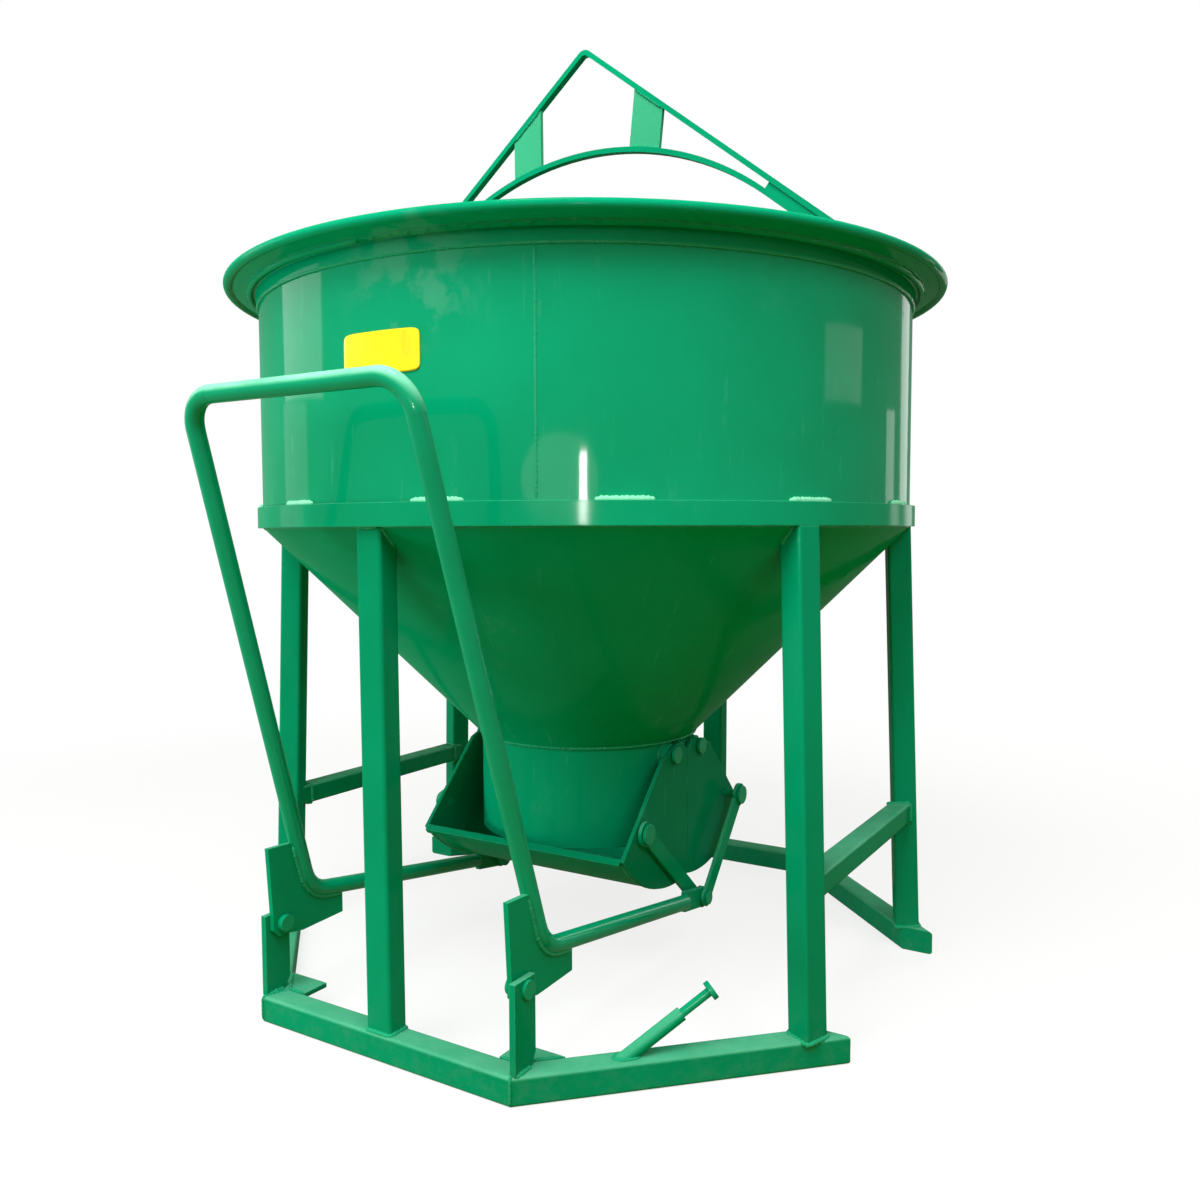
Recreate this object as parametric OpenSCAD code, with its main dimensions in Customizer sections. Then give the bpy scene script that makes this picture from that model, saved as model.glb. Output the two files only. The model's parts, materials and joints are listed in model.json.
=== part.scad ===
// Concrete bucket: steel barrel on six legs, double clam gate, bell-crank handle, fixed truss bail.
// Millimetres, +Z up, floor at z = 0, bucket axis on the Z axis, handle side towards -Y.

/* [Barrel] */
// outer radius of the rolled barrel
barrel_r = 711; // [660:1:760]
// barrel, cone and spout sheet thickness
sheet_t = 5; // [4:0.5:8]
// height of the barrel wall
barrel_h = 465; // [390:1:530]
// height of the flat bar band
band_h = 42; // [30:1:60]
// thickness of the flat bar band
band_t = 11; // [8:1:16]
// how far the rim stands out beyond the barrel
rim_out = 68; // [50:1:90]
// height of the rolled hem's middle above the barrel's top
rim_rise = 31; // [26:0.5:40]
// rim sheet thickness
rim_t = 5; // [4:0.5:6]
// height of the rim's neck above the barrel's top
rim_neck = 15; // [10:0.5:18]
// lap of the rim's skirt on the barrel
rim_skirt = 10; // [8:1:20]
// radius of the rolled hem at the rim's edge
hem_r = 9; // [7:0.5:11]
// radius of the bead rolled into the rim's underside
bead_r = 7; // [5.5:0.5:8]
// distance of that bead outside the barrel
bead_out = 17; // [14:0.5:24]

/* [Hopper and spout] */
// height of the cone's lower end above the floor
cone_z0 = 491; // [470:1:520]
// outer radius of the cone at its lower end
cone_r1 = 249; // [235:1:254]
// slope of the cone from the horizontal
cone_slope = 45; // [42:0.5:48]
// outer radius of the discharge spout
spout_r = 244; // [230:1:246]
// length of the spout below the cone
spout_len = 216; // [190:1:222]

/* [Base and legs] */
// outside size of the square tube of legs and base
tube = 50.8; // [44:0.1:60]
// wall of the square tube
tube_t = 4.8; // [3:0.1:6]
// outside corner radius of that tube
tube_round = 6; // [5:0.5:12]
// how far the base's flats stand outside the barrel
base_over = 2; // [-15:1:20]
// how far the diagonal beams run past the octagon corner
base_ext = 12; // [0:1:25]
// distance of a corner leg's axis from the beam's end face
leg_in = 32; // [28:1:45]
// distance of the corner legs' axes inside the barrel's outside, under the band
leg_under = 14; // [11:1:30]
// width of the mid legs along the base
mid_w = 57; // [45:1:62]
// depth of the mid legs
mid_d = 44; // [34:1:50]
// how far a mid leg's foot stands behind the base's outer face
mid_set = 6; // [0:1:16]
// section of the side braces
brace = 45; // [38:1:50]
// wall of the side braces
brace_t = 4; // [3:0.1:5]
// outside corner radius of the side braces
brace_round = 6; // [4.5:0.5:10]
// how far the side braces lie inside the corner legs' axes
brace_in = 10; // [6:1:14]
// height of the side braces' underside
brace_z = 288; // [240:1:340]
// reach of the corner plates into the base
corner_reach = 58; // [45:1:70]
// width of the corner plates along the front beam
corner_w = 38; // [30:1:60]
// thickness of the corner plates
corner_t = 9; // [6:1:12]

/* [Handle] */
// outside diameter of the handle pipe
pipe_d = 32; // [29:0.1:36]
// wall of the handle pipe
pipe_t = 3.2; // [2.6:0.1:4]
// half the width between the lower arms' axes
arm_x = 284; // [281:1:290]
// half the width between the upper arms' axes at the grip
grip_x = 246; // [220:1:270]
// how far the grip stands forward of the handle pivot
grip_fwd = 211; // [180:1:240]
// height of the grip above the handle pivot
grip_up = 988; // [900:1:1050]
// how much thicker the pipe is in its bends, on the radius
bend_swell = 0.2; // [0.1:0.05:0.4]
// bend radius at the grip corners
grip_bend = 62; // [50:1:80]
// bend radius of the bell-crank elbow
elbow_bend = 70; // [55:1:90]
// distance of the elbow behind the handle pivot
elbow_back = 71; // [60:1:85]
// height of the elbow above the handle pivot
elbow_up = 42; // [36:1:50]
// thickness of the handle plates
plate_t = 10; // [8:1:12]
// height of a handle plate's top corner above the handle pivot
plate_rise = 153; // [140:1:160]
// distance of that corner in front of the pivot
plate_fwd = 34; // [28:1:40]
// length of the plate's weld up the upper arm, from the elbow
plate_up = 113; // [100:1:125]
// length of the plate's weld along the lower arm, from the elbow
plate_along = 86; // [75:1:95]
// distance of the plate's back corner behind the pivot
plate_back = 156; // [145:1:165]
// drop of that corner below the pivot
plate_drop = 27; // [20:1:32]
// distance of the plate's lower corner behind the pivot
plate_heel = 49; // [42:1:56]
// drop of the lower corner below the pivot
heel_drop = 31; // [28:1:36]
// wall of metal round the plate's pivot hole
ear_wall = 14; // [11:0.5:17]
// half the width of the cut corners of that ear
ear_cut = 10; // [7:0.5:12]
// height of the ear's shoulder above the pivot
ear_rise = 15; // [12:0.5:20]
// thickness of the pivot tabs
tab_t = 12; // [10:1:15]
// width of the pivot tabs
tab_w = 58; // [50:1:64]
// height of the tabs above the handle pivot
tab_over = 19; // [16:1:30]
// how far the tabs' middle lies in front of the handle pivot
tab_lead = 6; // [3:0.5:9]
// length of the cut corner at a tab's foot
tab_cut = 12; // [8:1:16]
// height of that cut corner
tab_cut_rise = 22; // [16:1:30]
// side gap between a handle plate and its tab
tab_gap = 1; // [0.5:0.1:2]

/* [Linkage] */
// distance of the handle pivot behind the base's front face
piv_in = 42; // [32:1:52]
// height of the handle pivot
piv_z = 187; // [180:1:195]
// distance of the arm-end pin behind the bucket axis
end_y = 25; // [15:1:35]
// height of the arm-end pin
end_z = 130; // [124:1:136]
// distance of the gate pivots from the bucket axis
gate_py = 60; // [55:1:65]
// drop of the gate pivots below the cone
gate_drop = 28; // [27:1:31]
// distance of the gate link pins from the bucket axis
link_py = 200; // [190:1:210]
// drop of the gate link pins below the gate pivots
link_drop = 138; // [131:1:145]
// radius of the handle pivot pins
piv_r = 11; // [9:0.5:13]
// radius of the gate pivot pins
gpin_r = 13; // [11:0.5:15]
// radius of the arm-end pins and of the gate link pins
lpin_r = 9; // [8:0.5:10]
// width of the link straps
link_w = 34; // [32:1:40]
// thickness of the link straps
link_t = 8; // [6:0.5:9]
// how far a plain eye stands out past the edges of its strap or lug
eye_over = 2; // [1:0.5:3]
// wall of metal round a pin hole in the lugs
eye_wall = 14; // [11:0.5:16]
// thickness of the arm lugs
lug_t = 12; // [10:0.5:12]
// length of the arm lugs, from the pipe's end to the pin
lug_len = 88; // [75:1:100]
// thickness of the spacer ring beside a lug, less the side gap
lug_step = 4; // [3:0.5:5]
// how far a pin's head or ring stands out past the pin
pin_lip = 5; // [4:0.5:6]
// thickness of the pin heads
pin_cap = 6; // [4:0.5:8]
// end play under a pin's head
pin_play = 1; // [0.5:0.1:1.5]
// radius of the weld boss round a gate pin, past the pin
boss_lip = 9; // [7:0.5:11]
// wall of metal round a loose eye
loose_wall = 9; // [7:0.5:12]
// play of a gate link pin in its loose eye
eye_play = 8; // [7.5:0.1:10]
// running clearance of every hinge pin, on the radius
run_c = 0.06; // [0.02:0.01:0.1]
// side gap between neighbouring moving plates
side_gap = 2; // [1.5:0.1:2]

/* [Gate] */
// radius of the gate pans about their pivots, to the outside
pan_r = 283; // [280:1:288]
// pan sheet thickness
pan_t = 6; // [5:0.5:7]
// gate side plate thickness
side_t = 8; // [6:0.5:8]
// gap between the spout and a gate side plate
spout_gap = 6; // [5:0.5:8]
// gap where the two gate halves meet
seam = 3; // [2:0.5:4]
// angle of the pan's front edge below the horizontal
lip_deg = 39; // [36:1:42]
// size of the lip bar's section
lip_bar = 12; // [8:1:14]
// drop of the side plates' outer shoulders below the pivot
side_drop = 2; // [0:0.5:6]
// outward reach of those shoulders from the pivot
side_out = 52; // [44:1:58]
// height of the side plates' flat top above the pivot
side_top = 25; // [23:0.5:27]
// reach of that top towards the seam, from the pivot
side_horn = 22; // [20:0.5:24]
// width of the cut corner beside the seam
side_nick = 18; // [15:0.5:20]
// height of that cut corner
nick_rise = 17; // [15:0.5:19]

/* [Bail] */
// height of the bail's peak above the barrel's top
bail_up = 601; // [520:1:670]
// height of the bar's foot above the barrel's top
bail_rise = 34; // [28:1:42]
// in-plane thickness of the bail bars
bail_t = 11; // [9:0.5:16]
// width of the bail bars
bail_w = 17; // [14:1:24]
// radius of the bend at the bail's peak, to the outside
bail_bend = 22; // [18:1:32]
// height of the arch under the peak
arch_drop = 225; // [195:1:250]
// gap between the straight feet of arch and bar
foot_gap = 14; // [8:0.5:18]
// thickness of the plates between arch and bar
web_t = 10; // [8:1:14]
// inner edge of the mid plates from the axis
web_in = 120; // [100:1:130]
// width of the mid plates
web_w = 75; // [60:1:85]
// outward lean of the right mid plate over the bail's rise
web_lean_right = 60; // [0:1:80]
// outward lean of the left mid plate over the bail's rise
web_lean_left = 5; // [0:1:80]
// length of the plates at the feet, along the bar
foot_len = 322; // [250:1:345]
// thickness of the pads that weld the bail to the barrel
pad_t = 12; // [10:1:16]
// width of those pads
pad_w = 60; // [50:1:80]
// height of those pads
pad_h = 120; // [110:1:130]
// depth of the pads' lower edge below the barrel's top
pad_low = 73; // [58:1:83]

/* [Rod] */
// outside diameter of the rod's socket
sock_d = 25; // [23:0.5:30]
// length of the socket along its axis
sock_len = 118; // [100:1:130]
// radius of the rod
rod_r = 8; // [7:0.5:9]
// length of the rod without its head
rod_len = 132; // [120:1:140]
// start of the rod above the beam, along its axis
rod_in = 45; // [40:1:50]
// radius of the rod's head
head_r = 17; // [14:0.5:20]
// thickness of the rod's head
head_t = 9; // [7:0.5:12]
// slope of the rod
rod_deg = 33.5; // [31:0.5:40]
// place of the socket's foot along the diagonal, from its middle
rod_at = -91; // [-120:1:-60]

/* [Hidden] */
$fn = 96;
t22 = tan(22.5);
cone_ctan = tan(cone_slope);
barrel_z0 = cone_z0 + (barrel_r - cone_r1) * cone_ctan;
barrel_z1 = barrel_z0 + barrel_h;
base_a = barrel_r + base_over;
leg_top_r = barrel_r - leg_under;
piv_y = base_a - piv_in;
gate_pz = cone_z0 - gate_drop;
link_pz = gate_pz - link_drop;
cone_in = sheet_t / sin(cone_slope);
spout_z0 = cone_z0 - spout_len;
side_x0 = spout_r + spout_gap;
side_x1 = side_x0 + side_t;
fl_x0 = side_x1 + side_gap;
fl_x1 = fl_x0 + link_t;
lap = 1.5;
lug_x0 = fl_x1 + side_gap + lug_step;
lug_x1 = lug_x0 + lug_t;
bl_x0 = lug_x1 + side_gap;
bl_x1 = bl_x0 + link_t;
P1 = [-gate_py, gate_pz];
G1 = [-link_py, link_pz];
G2 = [link_py, link_pz];
H = [-piv_y, piv_z];
E = [end_y, end_z];
EB = [-piv_y + elbow_back, piv_z + elbow_up];
GT = [-piv_y - grip_fwd, piv_z + grip_up];
arm_dir = (E - EB) / norm(E - EB);
arm_deg = atan2(arm_dir[1], arm_dir[0]);
pipe_end = EB + arm_dir * (norm(E - EB) - lug_len);
plate_x0 = arm_x - plate_t / 2;
tab_x0 = arm_x + plate_t / 2 + tab_gap;
tab_x1 = tab_x0 + tab_t;
corner_x = base_a * t22;
diag_c = base_a * sqrt(2);
diag_in = (base_a - tube) * sqrt(2);
diag_mid = (base_a - tube / 2) * sqrt(2);
end_cut = corner_x - base_ext;
leg_y = end_cut + leg_in;
leg_x = diag_mid - leg_y;
leg_foot_r = norm([leg_x, leg_y]);
leg_az = atan2(leg_x, leg_y);
bail_z = barrel_z1 + bail_up;
bail_foot_x = barrel_r - sheet_t - pad_t;
bail_foot_z = barrel_z1 + bail_rise;
bail_slope = atan2(bail_z - bail_t - bail_foot_z, bail_foot_x);
far = 2 * bail_z;
steel = [0.05, 0.5, 0.28];

function unit(v) = v / norm(v);
function angles(a, b, c) = [atan2(b[2], c[2]), -asin(a[2]), atan2(a[1], a[0])];

// drawn in the Y-Z plane, from x0 to x1
module yz(x0, x1) {
  translate([x0, 0, 0]) rotate([90, 0, 90]) linear_extrude(x1 - x0) children();
}

// drawn in the X-Z plane, from y0 to y1
module xz(y0, y1) {
  translate([0, y1, 0]) rotate([90, 0, 0]) linear_extrude(y1 - y0) children();
}

module rod_x(x0, x1, p, r) {
  translate([x0, p[0], p[1]]) rotate([0, 90, 0]) cylinder(h = x1 - x0, r = r);
}

// pipe from p to q, running on by lap0 and lap1 past them; bored out unless solid
module pipe_run(p, q, lap0, lap1, solid) {
  v = q - p;
  translate(p) rotate([0, acos(v[2] / norm(v)), atan2(v[1], v[0])]) difference() {
    translate([0, 0, -lap0]) cylinder(h = norm(v) + lap0 + lap1, d = pipe_d);
    if (!solid) translate([0, 0, -lap0 - 1])
      cylinder(h = norm(v) + lap0 + lap1 + 2, d = pipe_d - 2 * pipe_t + 2 * bend_swell);
  }
}

// pipe bend at b, on the way from a to c
module pipe_bend(a, b, c, r, solid) {
  u = unit(b - a);
  v = unit(c - b);
  turn = acos(u * v);
  n = unit(v - u * (u * v));
  centre = b - u * (r * tan(turn / 2)) + n * r;
  translate(centre) rotate(angles(-n, u, cross(-n, u))) rotate_extrude(angle = turn) difference() {
    translate([r, 0]) circle(d = pipe_d + 2 * bend_swell);
    if (!solid) translate([r, 0]) circle(d = pipe_d - 2 * pipe_t);
  }
}

// point on the run from b towards a, where the bend at b starts
function tangent(a, b, c, r) = b - unit(b - a) * (r * tan(acos(unit(b - a) * unit(c - b)) / 2));

// w by h box with rounded corners about its middle; each corner is an arc of four chords
module round_box(w, h, r) {
  polygon([for (q = [0:3]) for (k = [0:4]) let (mid = 90 * q + 45, a = 90 * q + 22.5 * k)
    [sign(cos(mid)) * (w / 2 - r), sign(sin(mid)) * (h / 2 - r)] + [cos(a), sin(a)] * r]);
}

// hollow of a tube with that outside and a wall of t
module tube_hollow(w, h, t, r) {
  round_box(w - 2 * t, h - 2 * t, max(r - t, t / 5));
}

module tube_wall(w, h, t, r) {
  difference() {
    round_box(w, h, r);
    tube_hollow(w, h, t, r);
  }
}

module hopper_solid() {
  rotate_extrude() polygon([[0, cone_z0], [cone_r1, cone_z0], [barrel_r, barrel_z0],
    [barrel_r, barrel_z1], [0, barrel_z1]]);
}

module barrel() {
  color(steel) translate([0, 0, barrel_z0]) difference() {
    cylinder(h = barrel_h, r = barrel_r);
    translate([0, 0, -1]) cylinder(h = barrel_h + 2, r = barrel_r - sheet_t);
  }
}

// skirt and shallow flange in one sheet, with a rolled hem and a bead on the underside
module rim() {
  hem = [barrel_r + rim_out - hem_r, barrel_z1 + rim_rise];
  neck = [barrel_r + rim_t, barrel_z1 + rim_neck];
  under = hem - [0, rim_t / 2];
  bead = neck + (under - neck) * (bead_out - rim_t) / (under - neck)[0];
  color(steel) rotate_extrude() union() {
    polygon([[barrel_r, barrel_z1 - rim_skirt], [barrel_r + rim_t, barrel_z1 - rim_skirt], neck, under,
      hem + [0, rim_t / 2], neck + [-rim_t, rim_t]]);
    translate(hem) circle(r = hem_r);
    translate(bead) circle(r = bead_r);
  }
}

module stiffener_band() {
  color(steel) translate([0, 0, barrel_z0]) difference() {
    cylinder(h = band_h, r = barrel_r + band_t);
    translate([0, 0, -1]) cylinder(h = band_h + 2, r = barrel_r);
  }
}

module hopper_cone() {
  color(steel) rotate_extrude() polygon([[cone_r1, cone_z0], [barrel_r, barrel_z0],
    [barrel_r - cone_in, barrel_z0], [cone_r1 - cone_in, cone_z0]]);
}

module discharge_spout() {
  color(steel) translate([0, 0, spout_z0]) difference() {
    cylinder(h = spout_len, r = spout_r);
    translate([0, 0, -1]) cylinder(h = spout_len + 2, r = spout_r - sheet_t);
  }
}

// run of a corner leg's section, past both of its ends
module leg_run() {
  tilt = atan2(leg_foot_r - leg_top_r, barrel_z0 - tube);
  rotate([0, 0, leg_az]) translate([0, -leg_foot_r, tube]) rotate([-tilt, 0, 0])
    translate([0, 0, -tube]) linear_extrude(barrel_z0 + tube) children();
}

module corner_leg() {
  color(steel) difference() {
    intersection() {
      leg_run() tube_wall(tube, tube, tube_t, tube_round);
      translate([0, -2 * barrel_r, tube]) cube([2 * barrel_r, 2 * barrel_r, barrel_z0 - tube]);
    }
    hopper_solid();
  }
}

// leans out from its foot on the base to the underside of the band
module mid_leg() {
  rise = barrel_z0 - tube;
  color(steel) difference() {
    intersection() {
      translate([0, mid_set + mid_d / 2 - base_a, tube]) rotate([atan2(mid_set, rise), 0, 0])
        translate([0, 0, -tube]) linear_extrude(barrel_z0 + tube) tube_wall(mid_w, mid_d, tube_t, tube_round);
      translate([-mid_w, -2 * base_a, tube]) cube([2 * mid_w, 2 * base_a, rise]);
    }
    hopper_solid();
  }
}

// run of a base tube's section along X, past both of its ends
module beam_run() {
  yz(-base_a, base_a) translate([tube / 2 - base_a, tube / 2]) children();
}

// mitre of the octagon towards the front corner, as a wedge in plan
module mid_beam() {
  color(steel) intersection() {
    beam_run() tube_wall(tube, tube, tube_t, tube_round);
    linear_extrude(2 * tube) polygon([[0, 0], 2 * [corner_x, -base_a], 2 * [-corner_x, -base_a]]);
  }
}

// from the mitre to a closed end that is square to the side braces
module diag_beam() {
  color(steel) difference() {
    intersection() {
      rotate([0, 0, 45]) beam_run() round_box(tube, tube, tube_round);
      linear_extrude(2 * tube) polygon([[end_cut * t22, -end_cut], [2 * base_a, -end_cut],
        [2 * base_a, -2 * base_a], [2 * base_a * t22, -2 * base_a]]);
    }
    intersection() {
      rotate([0, 0, 45]) beam_run() tube_hollow(tube, tube, tube_t, tube_round);
      translate([0, -3 * base_a - end_cut - tube_t, 0]) cube([2 * base_a, 3 * base_a, 2 * tube]);
    }
  }
}

module brace_bar() {
  color(steel) difference() {
    xz(-leg_y, leg_y) translate([leg_x - brace_in, brace_z + brace / 2])
      tube_wall(brace, brace, brace_t, brace_round);
    leg_run() round_box(tube, tube, tube_round);
    flip_y() leg_run() round_box(tube, tube, tube_round);
  }
}

module corner_plate() {
  x1 = (base_a - tube) * t22;
  y1 = tube - base_a;
  color(steel) translate([0, 0, tube - corner_t]) linear_extrude(corner_t) polygon([[x1, y1],
    [x1 - corner_w, y1], [x1 - corner_w, y1 + corner_reach],
    [diag_in + y1 + corner_reach, y1 + corner_reach]]);
}

module pivot_tab() {
  front = H[0] - tab_lead - tab_w / 2;
  back = front + tab_w;
  color(steel) yz(tab_x0, tab_x1) difference() {
    polygon([[front, tube], [back - tab_cut, tube], [back, tube + tab_cut_rise],
      [back, H[1] + tab_over], [front, H[1] + tab_over]]);
    translate(H) circle(r = piv_r);
  }
}

module handle_pin() {
  color([0.1, 0.45, 0.28]) union() {
    rod_x(plate_x0 - pin_cap, tab_x1, H, piv_r);
    rod_x(tab_x1, tab_x1 + pin_cap, H, piv_r + pin_lip);
    rod_x(plate_x0 - 2 * pin_cap, plate_x0 - tab_gap, H, piv_r + pin_lip);
  }
}

module handle_tube() {
  lower = [arm_x, pipe_end[0], pipe_end[1]];
  elbow = [arm_x, EB[0], EB[1]];
  top = [grip_x, GT[0], GT[1]];
  across = [-grip_x, GT[0], GT[1]];
  color(steel) union() {
    for (m = [0, 1]) mirror([m, 0, 0]) {
      pipe_run(lower, tangent(lower, elbow, top, elbow_bend), 0, lap, false);
      pipe_bend(lower, elbow, top, elbow_bend, false);
      pipe_run(tangent(top, elbow, lower, elbow_bend), tangent(elbow, top, across, grip_bend),
        lap, lap, false);
      pipe_bend(elbow, top, across, grip_bend, false);
    }
    pipe_run(tangent(across, top, elbow, grip_bend),
      tangent(top, across, [-arm_x, EB[0], EB[1]], grip_bend), lap, lap, false);
  }
}

module arm_solid() {
  lower = [arm_x, pipe_end[0], pipe_end[1]];
  elbow = [arm_x, EB[0], EB[1]];
  top = [grip_x, GT[0], GT[1]];
  pipe_run(lower, tangent(lower, elbow, top, elbow_bend), 0, lap, true);
  pipe_bend(lower, elbow, top, elbow_bend, true);
  pipe_run(tangent(top, elbow, lower, elbow_bend), top, lap, 0, true);
}

module handle_plate() {
  up = (GT - EB) / norm(GT - EB);
  turn = 180 - acos(up * arm_dir);
  cut = elbow_bend * tan(turn / 2);
  ear = piv_r + ear_wall;
  color(steel) difference() {
    yz(plate_x0, plate_x0 + plate_t) difference() {
      polygon([H + [-plate_fwd, plate_rise], EB + up * plate_up, EB + up * cut,
        EB + unit(up + arm_dir) * elbow_bend * (1 / cos(turn / 2) - 1), EB + arm_dir * cut,
        EB + arm_dir * plate_along, H + [plate_back, -plate_drop], H + [plate_heel, -heel_drop],
        H + [ear_cut, -ear], H + [-ear_cut, -ear], H + [-ear, -ear_cut], H + [-ear, ear_rise]]);
      translate(H) circle(r = piv_r + run_c);
    }
    arm_solid();
  }
}

module arm_lug() {
  color(steel) yz(lug_x0, lug_x1) difference() {
    union() {
      translate(E) circle(r = lpin_r + eye_wall);
      translate(pipe_end) rotate(arm_deg) translate([0, eye_over - lpin_r - eye_wall])
        square([lug_len, 2 * (lpin_r + eye_wall - eye_over)]);
    }
    translate(E) circle(r = lpin_r);
  }
}

module arm_pin() {
  color([0.1, 0.45, 0.28]) union() {
    rod_x(fl_x0 - pin_play, bl_x1 + pin_play, E, lpin_r);
    rod_x(bl_x1 + pin_play, bl_x1 + pin_cap, E, lpin_r + pin_lip);
    rod_x(fl_x1 + pin_play, lug_x0, E, lpin_r + pin_lip + pin_play);
  }
}

module link(a, b, x0, x1) {
  v = b - a;
  color(steel) yz(x0, x1) difference() {
    union() {
      translate(a) circle(d = link_w + 2 * eye_over);
      translate(b) circle(r = lpin_r + eye_play + loose_wall);
      translate(a) rotate(atan2(v[1], v[0])) translate([0, -link_w / 2])
        square([norm(v) - lpin_r - eye_play, link_w]);
    }
    translate(a) circle(r = lpin_r + run_c);
    translate(b) circle(r = lpin_r + eye_play);
  }
}

module side_shape() {
  intersection() {
    translate(P1) circle(r = pan_r);
    polygon([[-seam / 2, 0], [-seam / 2, P1[1] + side_drop],
      [-seam / 2 - side_nick, P1[1] + side_drop + nick_rise], P1 + [side_horn, side_top],
      P1 + [-side_out, -side_drop], P1 + 1.02 * pan_r * [-cos(lip_deg), -sin(lip_deg)],
      P1 + [-1.1 * pan_r, -pan_r]]);
  }
}

module gate_side() {
  color(steel) yz(side_x0, side_x1) difference() {
    side_shape();
    translate(P1) circle(r = gpin_r + run_c);
    translate(G1) circle(r = lpin_r);
  }
}

module gate_pan() {
  lip = P1 + (pan_r - pan_t / 2) * [-cos(lip_deg), -sin(lip_deg)];
  color(steel) union() {
    yz(-side_x0, side_x0) intersection() {
      difference() {
        translate(P1) circle(r = pan_r);
        translate(P1) circle(r = pan_r - pan_t);
      }
      polygon([P1, P1 + 1.4 * pan_r * [-cos(lip_deg), -sin(lip_deg)], P1 + [-1.6 * pan_r, -1.6 * pan_r],
        [-seam / 2, -pan_r], [-seam / 2, P1[1]]]);
    }
    yz(-side_x0, side_x0) translate(lip) rotate(180 + lip_deg) translate([-pan_t / 2, -2])
      square([lip_bar + pan_t / 2, lip_bar]);
  }
}

module gate_pin() {
  boss_y = gate_py + gpin_r + boss_lip;
  boss_x0 = sqrt(spout_r * spout_r - boss_y * boss_y) - pin_cap;
  color([0.1, 0.45, 0.28]) difference() {
    union() {
      rod_x(boss_x0, side_x0 - side_gap + pin_play / 2, P1, gpin_r + boss_lip);
      rod_x(boss_x0, side_x1 + side_gap, P1, gpin_r);
      rod_x(side_x1 + side_gap, side_x1 + side_gap + pin_cap + pin_play, P1, gpin_r + pin_lip);
    }
    cylinder(h = 2 * cone_z0, r = spout_r);
  }
}

module gate_link_pin(x1) {
  color([0.1, 0.45, 0.28]) union() {
    rod_x(side_x0, x1 + 1.5 * pin_play, G1, lpin_r);
    rod_x(x1 + 1.5 * pin_play, x1 + 1.5 * pin_play + pin_cap, G1, lpin_r + eye_play + pin_lip - pin_play);
  }
}

module bail_bar() {
  c = cos(bail_slope);
  s = sin(bail_slope);
  foot = [bail_foot_x, bail_foot_z];
  peak_z = foot[1] + foot[0] * s / c;
  cz = peak_z + (bail_t - bail_bend) / c;
  color(steel) xz(-bail_w / 2, bail_w / 2) union() {
    for (m = [0, 1]) mirror([m, 0]) intersection() {
      translate(foot) rotate(180 - bail_slope) translate([-far / 2, -bail_t]) square([far, bail_t]);
      translate([0, cz]) rotate(-bail_slope) translate([-lap / 3, -far / 2]) square([far, far]);
      square([bail_foot_x, 2 * bail_z]);
    }
    intersection() {
      difference() {
        translate([0, cz]) circle(r = bail_bend);
        translate([0, cz]) circle(r = bail_bend - bail_t);
      }
      polygon([[0, cz], [bail_bend * s * 2, cz + bail_bend * c * 2], [0, cz + 3 * bail_bend],
        [-bail_bend * s * 2, cz + bail_bend * c * 2]]);
    }
  }
}

// distance of the arch's outer side inside the bar's inner side is foot_gap along the straight feet
function arch_top() = bail_z - arch_drop;
function foot_line_z(x) = bail_foot_z + (bail_foot_x - x) * tan(bail_slope) - foot_gap / cos(bail_slope);
function arch_rho() = (foot_line_z(0) - arch_top()) * cos(bail_slope) / (1 - cos(bail_slope));

module bail_arch() {
  rho = arch_rho();
  cz = arch_top() - rho;
  s = sin(bail_slope);
  c = cos(bail_slope);
  tx = rho * s;
  color(steel) xz(-bail_w / 2, bail_w / 2) union() {
    intersection() {
      difference() {
        translate([0, cz]) circle(r = rho);
        translate([0, cz]) circle(r = rho - bail_t);
      }
      polygon([[0, cz], [2 * tx, cz + 2 * rho * c], [0, cz + 3 * rho], [-2 * tx, cz + 2 * rho * c]]);
    }
    for (m = [0, 1]) mirror([m, 0]) intersection() {
      translate([tx, cz + rho * c]) rotate(-bail_slope) translate([-lap / 3, -bail_t])
        square([far, bail_t]);
      polygon([[0, 0], [bail_foot_x, 0], [bail_foot_x, bail_z], [0, bail_z]]);
    }
  }
}

// plate between arch and bar; a lean turns it about two thirds of the bail's rise
module bail_web(lean) {
  rho = arch_rho();
  cz = arch_top() - rho;
  low = web_in - lean * 2 / 3;
  color(steel) xz(-web_t / 2, web_t / 2) difference() {
    polygon([[low, bail_foot_z], [low + web_w, bail_foot_z], [low + web_w + lean, bail_z],
      [low + lean, bail_z]]);
    translate([0, cz]) circle(r = rho);
    translate([bail_foot_x, bail_foot_z]) rotate(180 - bail_slope) translate([-far / 2, -far])
      square([far, far]);
  }
}

module bail_foot() {
  color(steel) union() {
    xz(-web_t / 2, web_t / 2) intersection() {
      translate([bail_foot_x, bail_foot_z]) rotate(180 - bail_slope) translate([-foot_len, 0])
        square([2 * foot_len, foot_gap]);
      polygon([[0, 0], [bail_foot_x + 1, 0], [bail_foot_x + 1, bail_z], [0, bail_z]]);
    }
    intersection() {
      translate([bail_foot_x, -pad_w / 2, barrel_z1 - pad_low]) cube([3 * pad_t, pad_w, pad_h]);
      cylinder(h = bail_z, r = barrel_r - sheet_t, $fn = 256);
    }
  }
}

module along_rod(s0, s1, r) {
  rotate([0, 0, 45]) translate([rod_at, tube / 2 - base_a, tube]) rotate([0, 90 - rod_deg, 0])
    translate([0, 0, s0]) cylinder(h = s1 - s0, r = r);
}

module rod_socket() {
  color(steel) difference() {
    along_rod(-sock_len / 2, sock_len, sock_d / 2);
    along_rod(-sock_len, 2 * sock_len, rod_r + run_c);
    translate([0, -2 * base_a, -tube]) cube([2 * base_a, 2 * base_a, 2 * tube]);
  }
}

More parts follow.
